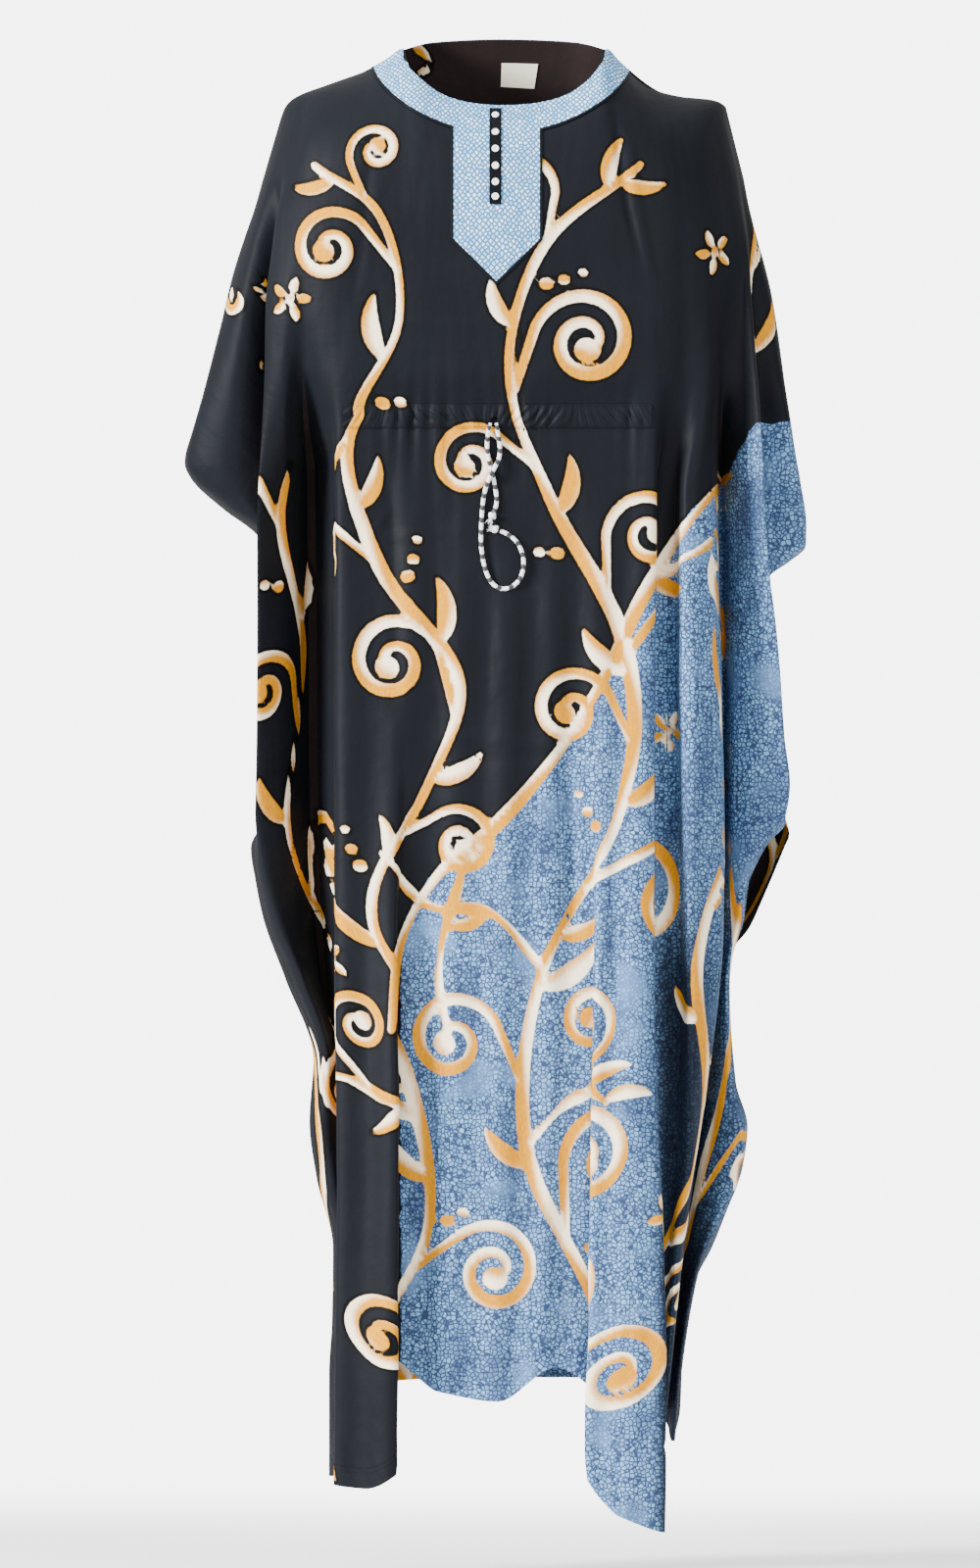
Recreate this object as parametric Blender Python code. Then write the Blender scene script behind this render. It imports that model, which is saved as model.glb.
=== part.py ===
"""A long batwing kaftan, hollow, in the shape that it takes when it is worn.

Two wide rectangles of cloth meet along the shoulders and the tops of the sleeves, and along two
side seams that lie well inside their outer edges, so each side has a loose double wing. The neck
has an applied band that runs down into a pointed yoke, with a placket and six buttons. A gathered
casing under the chest lets out a drawstring.

The tables are in millimetres: x across (the wearer's left is +x), y front to back (front is -y)
and drop, the distance down from the side of the neck. The built objects are in metres, Z up.
"""

import math

import bmesh
import bpy
import numpy as np
from mathutils import Vector
from mathutils.bvhtree import BVHTree

MM = 0.001

# Walls and gaps
WALL = 1.6
TRIM_WALL = 1.1
GAP = 0.3
LAY_GAP = 0.4
LIFT_ROUNDS = 5
SHIFT_ROUNDS = 12
SAMPLE_STEPS = 5
INSIDE_DEPTH = 0.2

# Rows of the panels: a rounded top down to CHEST, level rows, then rows that spread to the hem
CHEST = 120.0
SPREAD_FROM = 1200.0
ROUND_ROWS = 8
FRONT_ROWS = (155, 190, 225, 260, 300, 335, 370, 395, 412, 430, 458, 486, 512, 545, 590, 640, 690,
              740, 775, 802, 835, 880, 920, 960, 1010, 1060, 1110, 1155, 1200)
BACK_ROWS = (160, 205, 250, 300, 345, 380, 412, 430, 458, 486, 530, 590, 650, 715, 770, 800, 860,
             920, 980, 1050, 1120, 1200)
FRONT_HEM_ROWS = 5
BACK_HEM_ROWS = 3

# Neck opening, an oval with flattened sides
NECK_X = 7.0
NECK_HALF_WIDTH = 103.0
NECK_SIDE_DROP = -11.0
NECK_FRONT_DROP = 50.0
NECK_BACK_DROP = -24.0
NECK_FRONT_DEPTH = 82.0
NECK_BACK_DEPTH = 62.0
NECK_SQUARENESS = 0.8
NECK_DROP_POWER = 1.15
NECK_DEPTH_POWER = 0.55
NECK_SLOPE = math.radians(48)
NECK_SIDE_SLOPE = math.radians(30)
NECK_SLOPE_REACH = 90.0
NECK_SPREAD = 0.6
SHOULDER_LENGTH = 120.0

# The line of the shoulders, seen from the front: x, drop
SHOULDER_LINE = (
    (-222, 60), (-216, 46), (-207, 38), (-185, 29), (-160, 20), (-130, 9), (-112, -1), (-96, -11),
    (110, -11), (122, 0), (133, 11), (147, 24), (165, 32), (193, 38), (216, 40), (227, 43), (233, 48),
)

# The top edge of each sleeve and, below the cuff's corner, the loose edge of the front wing
LEFT_SLEEVE_TOP = (
    (120, -239.5, 0), (150, -248, 0), (188, -261, 0), (220, -271, 0), (258, -280, 0),
    (312, -293, 0), (370, -309, 0), (412, -320, 0),
)
RIGHT_SLEEVE_TOP = (
    (120, 251, 0), (151, 257, 0), (241, 280, 0), (344, 295, 0), (396, 302, 0), (430, 309, 0),
    (475, 315, 0), (496, 315, 0),
)
LEFT_CUFF_CORNER = LEFT_SLEEVE_TOP[-1][0]
RIGHT_CUFF_CORNER = RIGHT_SLEEVE_TOP[-1][0]

# Side seams, shared by both panels: drop, x
LEFT_SEAM = ((420, -192), (600, -190), (805, -188), (940, -178), (1022, -160), (1141, -144),
             (1289, -137), (1400, -136))
RIGHT_SEAM = ((420, 227), (600, 230), (805, 231), (880, 222), (940, 214), (1045, 209), (1141, 198),
              (1250, 178), (1380, 162))
SEAM_Y = (WALL + GAP) / 2
LEFT_SEAM_HEM = LEFT_SEAM[-1][0]
RIGHT_SEAM_HEM = RIGHT_SEAM[-1][0]


def seam_knots(seam, side):
    """The knots (drop, x, y) of a side seam on the panel of one side, front -1 or back +1."""
    return tuple((drop, x, side * SEAM_Y) for drop, x in seam)


# One row for each fold line of a panel, from left to right:
# name, (where it starts on the top edge, value there), hem drop, columns to the next line, knots.
# A start on the shoulder is an x, and a start on the neck is an angle, 180 left and 0 right.
# The knots are (drop, x, y).
FRONT_FOLDS = (
    ("left_edge", ("shoulder", -222), 1447, 1, LEFT_SLEEVE_TOP + (
        (428, -313, -5), (459, -280, -12), (485, -246, -16), (512, -230, -6), (545, -224, 0),
        (640, -222, 2), (740, -225, 0), (780, -240, -10), (805, -252, -22), (840, -247, -24),
        (878, -239, -24), (938, -217, -26), (1022, -188, -26), (1085, -192, -24), (1141, -185, -22),
        (1215, -168, -22), (1289, -169, -22), (1342, -172, -22), (1447, -172, -24))),
    ("left_sleeve", ("shoulder", -217), 1447, 1, (
        (120, -236, -20), (188, -258, -26), (258, -277, -32), (340, -297, -36), (412, -313, -34),
        (428, -306, -34), (459, -270, -36), (485, -240, -34), (512, -229, -22), (640, -226, -14),
        (740, -229, -16), (780, -241, -24), (805, -250, -32), (878, -236, -34), (938, -213, -36),
        (1022, -185, -35), (1085, -189, -33), (1141, -182, -31), (1215, -166, -30),
        (1447, -169, -32))),
    ("left_sleeve_turn", ("shoulder", -211), 1444, 1, (
        (120, -230, -38), (188, -246, -52), (258, -258, -58), (340, -268, -56), (412, -274, -52),
        (459, -250, -46), (485, -236, -44), (512, -230, -34), (640, -229, -28), (740, -232, -28),
        (780, -242, -36), (805, -248, -42), (878, -233, -44), (938, -209, -44), (1022, -182, -43),
        (1085, -185, -42), (1141, -178, -39), (1215, -163, -38), (1447, -166, -40))),
    ("left_sleeve_valley", ("shoulder", -203), 1440, 1, (
        (120, -222, -54), (160, -222, -54), (188, -220, -50), (258, -214, -38), (340, -212, -28),
        (412, -214, -28), (459, -222, -36), (485, -232, -50), (512, -236, -50), (640, -236, -46),
        (740, -238, -44), (780, -243, -48), (805, -246, -52), (878, -229, -52), (938, -205, -50),
        (1022, -178, -49), (1085, -180, -48), (1141, -174, -45), (1215, -159, -44),
        (1447, -162, -46))),
    ("left_ridge", ("shoulder", -191), 1436, 2, (
        (120, -214, -68), (160, -225, -76), (191, -229, -80), (255, -236, -84), (319, -237, -84),
        (383, -240, -80), (446, -244, -76), (485, -245, -72), (580, -245, -66), (715, -246, -62),
        (770, -247, -60), (805, -243, -60), (878, -224, -56), (938, -199, -53), (1022, -173, -50),
        (1085, -173, -49), (1141, -167, -47), (1215, -156, -45), (1447, -158, -47))),
    ("left_wing", ("shoulder", -176), 1426, 1, (
        (120, -197, -90), (191, -213, -102), (255, -217, -105), (319, -217, -100), (383, -216, -80),
        (446, -215, -54), (485, -215, -46), (580, -215, -42), (715, -215, -40), (805, -213, -40),
        (878, -203, -36), (938, -190, -36), (1022, -167, -36), (1141, -157, -34), (1215, -151, -30),
        (1447, -153, -32))),
    ("left_seam", ("shoulder", -160), LEFT_SEAM_HEM, 1, (
        (120, -180, -100), (191, -196, -112), (255, -198, -109), (319, -198, -90),
        (370, -196, -44)) + seam_knots(LEFT_SEAM, -1)),
    ("left_pleat_inside", ("shoulder", -146), 1430, 1, (
        (120, -160, -107), (191, -176, -119), (255, -179, -118), (319, -178, -110),
        (370, -172, -92), (420, -164, -76), (600, -160, -72), (805, -160, -74), (940, -157, -76),
        (1022, -149, -75), (1141, -140, -73), (1289, -134, -72), (1447, -134, -72))),
    ("left_pleat_edge", ("shoulder", -130), 1452, 2, (
        (120, -140, -112), (191, -156, -122), (255, -160, -122), (319, -162, -119),
        (370, -163, -113), (420, -163, -112), (600, -163, -114), (805, -163, -118),
        (940, -163, -124), (1141, -162, -128), (1289, -164, -126), (1447, -166, -118))),
    ("left_strip", ("shoulder", -112), 1456, 3, (
        (120, -118, -114), (191, -132, -123), (319, -136, -121), (370, -136, -114),
        (420, -136, -113), (600, -136, -119), (805, -136, -127), (940, -134, -135),
        (1141, -132, -141), (1289, -133, -141), (1456, -134, -133))),
    ("left_strip_edge", ("neck", 180), 1441, 2, (
        (120, -100, -115), (191, -108, -123), (319, -110, -122), (370, -110, -114),
        (420, -110, -113), (600, -107, -121), (805, -106, -131), (880, -106, -137),
        (940, -106, -143), (1090, -104, -151), (1289, -104, -151), (1441, -105, -145))),
    ("left_strip_inside", ("neck", 150), 1312, 2, (
        (120, -80, -117), (191, -86, -124), (319, -88, -123), (370, -88, -114), (420, -88, -113),
        (600, -90, -121), (805, -96, -122), (880, -106, -118), (940, -114, -112),
        (1090, -118, -106), (1289, -119, -102))),
    ("centre_left", ("neck", 120), 1357, 2, (
        (120, -46, -119), (191, -47, -125), (319, -48, -124), (370, -48, -114), (420, -48, -113),
        (600, -56, -123), (940, -64, -123), (1141, -66, -119), (1357, -64, -113))),
    ("centre", ("neck", 92), 1368, 2, (
        (120, 3, -120), (191, 2, -127), (319, 0, -125), (370, 0, -114), (420, 0, -113),
        (485, 0, -117), (650, 0, -127), (850, 0, -129), (1100, 0, -123), (1367, 0, -115))),
    ("centre_right", ("neck", 62), 1333, 2, (
        (120, 50, -119), (191, 51, -125), (319, 52, -124), (370, 52, -114), (420, 52, -113),
        (600, 56, -122), (850, 58, -125), (1100, 58, -119), (1333, 58, -111))),
    ("right_soft_valley", ("neck", 39), 1372, 1, (
        (120, 86, -117), (191, 91, -123), (319, 94, -122), (370, 92, -113), (600, 92, -120),
        (850, 98, -119), (1100, 103, -112), (1289, 105, -106), (1372, 106, -102))),
    ("tail_left_edge", ("neck", 20), 1446, 3, (
        (120, 110, -114), (191, 114, -121), (319, 116, -120), (370, 113, -112), (600, 110, -122),
        (850, 104, -131), (1100, 99, -138), (1289, 94, -144), (1414, 90, -144), (1446, 92, -142))),
    ("tail", ("neck", 0), 1482, 3, (
        (120, 128, -110), (191, 134, -118), (319, 138, -117), (370, 136, -111), (600, 135, -121),
        (850, 134, -131), (1100, 132, -142), (1289, 128, -148), (1482, 120, -146))),
    ("tail_right_edge", ("shoulder", 130), 1500, 1, (
        (120, 150, -106), (191, 156, -115), (319, 160, -114), (370, 160, -111), (485, 160, -114),
        (600, 160, -117), (805, 160, -123), (940, 160, -129), (1141, 166, -137),
        (1289, 170, -141), (1500, 168, -137))),
    ("tail_inside", ("shoulder", 150), 1440, 1, (
        (120, 168, -100), (191, 174, -110), (319, 176, -108), (370, 172, -100), (420, 163, -92),
        (485, 157, -85), (600, 155, -81), (805, 155, -81), (940, 156, -85), (1141, 156, -88),
        (1289, 153, -90), (1440, 148, -92))),
    ("right_shade", ("shoulder", 166), 1420, 1, (
        (120, 182, -93), (191, 189, -103), (319, 191, -101), (370, 187, -95), (420, 182, -88),
        (485, 180, -84), (600, 182, -84), (805, 185, -84), (940, 187, -83), (1141, 180, -84),
        (1289, 168, -86), (1420, 158, -86))),
    ("right_pleat_ridge", ("shoulder", 181), 1405, 2, (
        (120, 196, -85), (191, 204, -96), (319, 206, -98), (370, 203, -99), (445, 190, -108),
        (600, 191, -109), (804, 195, -109), (940, 197, -107), (1100, 196, -100),
        (1215, 182, -97), (1405, 168, -99))),
    ("right_pleat_edge", ("shoulder", 194), 1388, 1, (
        (120, 208, -77), (191, 217, -88), (319, 218, -92), (390, 214, -95), (470, 216, -96),
        (580, 221, -94), (800, 226, -92), (900, 227, -90), (1050, 213, -82), (1200, 190, -76),
        (1388, 168, -75))),
    ("right_seam", ("shoulder", 206), RIGHT_SEAM_HEM, 1, (
        (120, 218, -68), (191, 227, -80), (319, 228, -72), (370, 228, -42))
        + seam_knots(RIGHT_SEAM, -1)),
    ("right_wing_inner", ("shoulder", 215), 1395, 1, (
        (120, 227, -58), (191, 237, -69), (319, 239, -67), (370, 239, -56), (412, 238, -40),
        (450, 239, -36), (600, 241, -36), (805, 240, -34), (880, 234, -26), (940, 224, -20),
        (1045, 219, -20), (1141, 208, -20), (1250, 190, -18), (1395, 174, -17))),
    ("right_wing", ("shoulder", 222), 1405, 2, (
        (120, 237, -46), (191, 247, -60), (319, 252, -66), (412, 254, -66), (450, 255, -64),
        (600, 262, -58), (741, 266, -52), (805, 256, -44), (840, 248, -40), (880, 241, -36),
        (940, 230, -32), (1045, 228, -34), (1100, 230, -35), (1175, 216, -32), (1250, 194.5, -29),
        (1405, 176, -27))),
    ("right_ridge", ("shoulder", 226), 1411, 1, (
        (120, 243, -35), (191, 254, -52), (241, 257, -64), (319, 263, -72), (372, 267, -77),
        (440, 271, -77), (485, 273, -75), (533, 277, -71), (569, 282, -68), (629, 288, -64),
        (693, 292, -60), (741, 297, -54), (770, 293, -48), (799, 272, -42), (840, 251, -40),
        (880, 246, -40), (917, 236, -39), (947, 233.5, -38), (1045, 236, -39), (1090, 248, -39),
        (1131, 243, -39), (1175, 226, -38), (1243, 201, -36), (1323, 187, -34), (1411, 178, -32))),
    ("right_sleeve_valley", ("shoulder", 229), 1411, 1, (
        (120, 246, -25), (191, 256, -34), (241, 258, -38), (319, 261, -36), (372, 263, -33),
        (440, 267, -33), (485, 269, -36), (533, 272, -48), (569, 275, -48), (693, 285, -44),
        (741, 294, -40), (770, 293, -36), (799, 275, -34), (840, 254, -32), (880, 249, -32),
        (917, 238.5, -31), (947, 236, -31), (1045, 240, -31), (1090, 252.5, -31), (1131, 247.5, -31),
        (1175, 231, -31), (1243, 203.5, -29), (1323, 189, -27), (1411, 180, -25))),
    ("right_sleeve", ("shoulder", 231), 1411, 1, (
        (120, 249, -14), (191, 265, -22), (241, 276, -27), (319, 287, -31), (372, 296, -34),
        (440, 306, -34), (475, 311, -32), (497, 309, -32), (513, 292, -32), (533, 274, -34),
        (569, 271, -30), (693, 279, -28), (741, 292, -26), (770, 294, -24), (799, 276.5, -24),
        (840, 256, -22), (880, 250.5, -22), (917, 238.5, -22), (947, 236, -22), (1045, 242.5, -22),
        (1090, 254.5, -22), (1131, 249.5, -22), (1175, 233.5, -22), (1243, 204, -20),
        (1323, 189.5, -19), (1411, 180, -17))),
    ("right_edge", ("shoulder", 233), 1411, 1, RIGHT_SLEEVE_TOP + (
        (513, 297, -4), (530, 274, -10), (569, 266, -8), (640, 268, -8), (715, 280, -10),
        (750, 292, -12), (779, 294, -14), (799, 277, -14), (826, 262, -13), (841, 256, -12),
        (880, 250, -12), (917, 237, -12), (947, 234, -12), (998, 237, -12), (1045, 242, -12),
        (1090, 255, -12), (1131, 250, -12), (1175, 234, -12), (1213, 219, -11), (1243, 203.5, -11),
        (1276, 193, -10), (1323, 188.5, -10), (1380, 186, -9), (1411, 179, -8))),
)

BACK_FOLDS = (
    ("left_edge", ("shoulder", -222), 1400, 1, LEFT_SLEEVE_TOP + (
        (428, -311, 5), (459, -277, 14), (485, -243, 20), (512, -228, 26), (545, -220, 28),
        (640, -216, 30), (740, -220, 28), (785, -238, 26), (805, -247, 24), (878, -234, 24),
        (938, -212, 22), (1022, -180, 20), (1141, -176, 20), (1215, -160, 20), (1400, -162, 22))),
    ("left_sleeve", ("shoulder", -216), 1398, 1, (
        (120, -236, 20), (188, -258, 26), (258, -277, 30), (340, -297, 32), (412, -312, 30),
        (428, -303, 32), (459, -267, 36), (485, -236, 38), (545, -213, 44), (640, -211, 46),
        (740, -216, 46), (805, -238, 42), (878, -226, 42), (938, -204, 40), (1022, -176, 36),
        (1141, -170, 36), (1398, -156, 36))),
    ("left_wing", ("shoulder", -203), 1396, 2, (
        (120, -225, 48), (191, -237, 58), (255, -238, 62), (340, -238, 60), (412, -232, 52),
        (485, -214, 44), (600, -202, 48), (740, -204, 46), (805, -210, 44), (938, -190, 40),
        (1022, -168, 32), (1141, -157, 26), (1396, -149, 26))),
    ("left_seam", ("shoulder", -176), LEFT_SEAM_HEM, 2, (
        (120, -196, 73), (191, -207, 80), (255, -206, 76), (319, -202, 62),
        (370, -197, 34)) + seam_knots(LEFT_SEAM, 1)),
    ("left_pleat", ("shoulder", -140), 1362, 2, (
        (120, -158, 84), (191, -166, 91), (319, -168, 86), (412, -166, 74), (485, -162, 74),
        (805, -158, 82), (1141, -148, 90), (1362, -142, 92))),
    ("left_back_fold", ("neck", 180), 1354, 2, (
        (120, -104, 88), (191, -108, 95), (319, -110, 90), (412, -108, 82), (600, -104, 88),
        (805, -102, 94), (1141, -102, 101), (1354, -102, 103))),
    ("left_back_valley", ("neck", 135), 1351, 2, (
        (120, -58, 90), (191, -60, 98), (319, -62, 92), (412, -62, 82), (600, -64, 84),
        (805, -66, 84), (1141, -66, 82), (1351, -64, 84))),
    ("back_centre", ("neck", 92), 1350, 2, (
        (120, 2, 91), (191, 2, 99), (319, 0, 94), (412, 0, 85), (600, 0, 94), (805, 0, 101),
        (1141, 2, 108), (1350, 4, 110))),
    ("right_back_valley", ("neck", 48), 1350, 3, (
        (120, 64, 90), (191, 64, 98), (319, 66, 92), (412, 66, 82), (600, 64, 84),
        (805, 62, 83), (1141, 60, 82), (1350, 58, 85))),
    ("right_back_fold", ("neck", 0), 1352, 3, (
        (120, 118, 87), (191, 120, 94), (319, 122, 89), (412, 120, 81), (600, 114, 89),
        (805, 112, 96), (1141, 108, 104), (1352, 110, 106))),
    ("right_pleat", ("shoulder", 166), 1362, 2, (
        (120, 176, 80), (191, 184, 87), (319, 188, 82), (412, 194, 70), (600, 194, 72),
        (805, 192, 80), (1141, 174, 85), (1362, 158, 88))),
    ("right_seam", ("shoulder", 206), RIGHT_SEAM_HEM, 2, (
        (120, 218, 60), (191, 229, 68), (255, 231, 64), (319, 231, 52),
        (370, 229, 28)) + seam_knots(RIGHT_SEAM, 1)),
    ("right_wing", ("shoulder", 221), 1390, 2, (
        (120, 237, 42), (191, 250, 52), (319, 260, 54), (412, 262, 50), (485, 258, 42),
        (600, 254, 42), (741, 262, 38), (805, 260, 34), (880, 244, 30), (940, 230, 28),
        (1100, 222, 28), (1250, 194, 28), (1400, 173, 28))),
    ("right_sleeve", ("shoulder", 229), 1396, 1, (
        (120, 249, 20), (191, 265, 25), (241, 276, 28), (319, 287, 31), (396, 298, 32),
        (475, 310, 30), (497, 305, 30), (513, 286, 30), (533, 267, 30), (640, 266, 28),
        (741, 284, 24), (792, 292, 18), (861, 264, 14), (917, 233, 14), (1045, 236, 15),
        (1100, 246, 16), (1175, 227, 17), (1243, 199, 18), (1400, 176, 18))),
    ("right_edge", ("shoulder", 233), 1400, 1, RIGHT_SLEEVE_TOP + (
        (513, 292, 6), (530, 268, 10), (569, 260, 12), (640, 262, 12), (715, 274, 8),
        (770, 292, 2), (792, 298, 0), (802, 294, -1), (861, 269, -1), (887, 257, -1),
        (917, 234, 0), (947, 229, 0), (1045, 237, 0), (1090, 249, 0), (1131, 244, 0),
        (1213, 214, 0), (1276, 189, 0), (1400, 177, 2))),
)

# Neck band and yoke, seen from the front
BAND_X = 4.0
BAND_HALF_WIDTH = 130.0
BAND_SIDE_DROP = 8.0
BAND_FRONT_DROP = 78.0
BAND_SAG = 1.35
BAND_WIDTH = 31.0
BAND_STEPS = 4
YOKE_LEFT = -45.0
YOKE_RIGHT = 42.5
YOKE_SHOULDER_DROP = 186.0
YOKE_POINT = (-1.5, 229.0)
YOKE_STEPS = 6

# Piping beside the outer edge of the band and yoke
PIPING_WIDTH = 2.4
PIPING_GAP = 0.5
MITRE_LIMIT = 1.6

# Placket and buttons
PLACKET_X = -2.5
PLACKET_WIDTH = 12.0
PLACKET_DROPS = (53.0, 151.0)
PLACKET_STEPS = (10, 2)
BUTTON_DROPS = (60.0, 77.5, 94.5, 111.5, 128.0, 143.0)
BUTTON_DIAMETER = 7.4
BUTTON_THICKNESS = 2.4
BUTTON_BEVEL = 0.6

# Gathered casing and eyelet
CASING_X = (-157.0, 156.0)
CASING_DROPS = (354.0, 378.0)
CASING_PUCKERS = 24
CASING_PUCKER_HEIGHT = 1.1
CASING_ROWS = 2
EYELET = (-4.5, 371.0)
EYELET_RADIUS = 3.6
EYELET_THREAD = 0.8

# Drawstring: x and drop of each strand, and how far it lifts off what it lies on
CORD_DIAMETER = 4.4
KNOT_DIAMETER = 8.6
CORD_STEP = 7.0
SHORT_STRAND = (
    (-7.6, 373, 0.2), (-10, 383, 1.6), (-11, 396, 0), (-9.5, 410, 0), (-6, 423, 0), (-3.5, 435, 0),
    (-1.5, 447, 0), (-1.5, 456, 1.0), (-4, 463.5, 2.2),
)
LONG_STRAND = (
    (-1.6, 373, 0.2), (0.5, 386, 0.4), (2, 398, 0.4), (1, 409, 2.5), (-3.5, 419, 6.2),
    (-8, 428, 5.6), (-12, 438, 2.0), (-14.5, 449, 0), (-16, 462, 0), (-17, 480, 0), (-17, 497, 0),
    (-15, 513, 0), (-11, 527, 0), (-4, 538, 0), (7, 542, 0), (20, 535, 0), (26, 519, 0),
    (24, 504, 0), (18, 493, 0.4), (9, 486, 1.4), (1.5, 483, 2.2),
)

# Blank label inside the back neck: x and drop of its corners
LABEL_CORNERS = ((4, -1), (41.5, 0), (37.5, 25), (3, 23))
LABEL_WALL = 1.0
LABEL_STEPS = 3


def make_material(name, colour, roughness):
    """A plain Principled material."""
    material = bpy.data.materials.new(name)
    material.use_nodes = True
    shader = material.node_tree.nodes["Principled BSDF"]
    shader.inputs["Base Color"].default_value = (*colour, 1)
    shader.inputs["Roughness"].default_value = roughness
    shader.inputs["Metallic"].default_value = 0
    material.diffuse_color = (*colour, 1)
    return material


def monotone_slopes(t, values):
    """Slopes of a smooth curve through the values that never overshoots them."""
    steps = np.diff(values) / np.diff(t)
    slopes = np.empty(len(values))
    slopes[0] = steps[0]
    slopes[-1] = steps[-1]
    for i in range(1, len(values) - 1):
        before, after = steps[i - 1], steps[i]
        slopes[i] = 0.0 if before * after <= 0 else 2 * before * after / (before + after)
    return slopes


def smooth_curve(t, values, at):
    """The value at each place along a smooth curve, held level beyond its ends."""
    t = np.asarray(t, float)
    values = np.asarray(values, float)
    at = np.clip(at, t[0], t[-1])
    slopes = monotone_slopes(t, values)
    i = np.clip(np.searchsorted(t, at) - 1, 0, len(t) - 2)
    span = t[i + 1] - t[i]
    f = (at - t[i]) / span
    rise = values[i + 1] - values[i]
    a = slopes[i] * span - rise
    b = rise - slopes[i + 1] * span
    return values[i] + f * rise + f * (1 - f) * (a * (1 - f) + b * f)


def across(p0, p1, p2, p3, f):
    """A point between p1 and p2 on the rounded curve through four points."""
    t01 = np.maximum(np.linalg.norm(p1 - p0, axis=-1, keepdims=True), 1e-6) ** 0.5
    t12 = np.maximum(np.linalg.norm(p2 - p1, axis=-1, keepdims=True), 1e-6) ** 0.5
    t23 = np.maximum(np.linalg.norm(p3 - p2, axis=-1, keepdims=True), 1e-6) ** 0.5
    m1 = p2 - p1 + t12 * ((p1 - p0) / t01 - (p2 - p0) / (t01 + t12))
    m2 = p2 - p1 + t12 * ((p3 - p2) / t23 - (p3 - p1) / (t12 + t23))
    return p1 + f * m1 + f * f * (3 * (p2 - p1) - 2 * m1 - m2) + f ** 3 * (2 * (p1 - p2) + m1 + m2)


def shoulder_drop(x):
    """Drop of the shoulder line at x."""
    xs = [row[0] for row in SHOULDER_LINE]
    return float(smooth_curve(xs, [row[1] for row in SHOULDER_LINE], x))


def neck_point(angle, side):
    """A point (x, drop, y) of the neck edge, on the front (-1) or the back (+1)."""
    turn = math.radians(angle)
    along = math.copysign(abs(math.cos(turn)) ** NECK_SQUARENESS, math.cos(turn))
    forward = abs(math.sin(turn))
    low = NECK_FRONT_DROP if side < 0 else NECK_BACK_DROP
    depth = NECK_FRONT_DEPTH if side < 0 else NECK_BACK_DEPTH
    drop = NECK_SIDE_DROP + (low - NECK_SIDE_DROP) * forward ** NECK_DROP_POWER
    return NECK_X + NECK_HALF_WIDTH * along, drop, side * (depth * forward ** NECK_DEPTH_POWER + GAP / 2)


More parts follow.
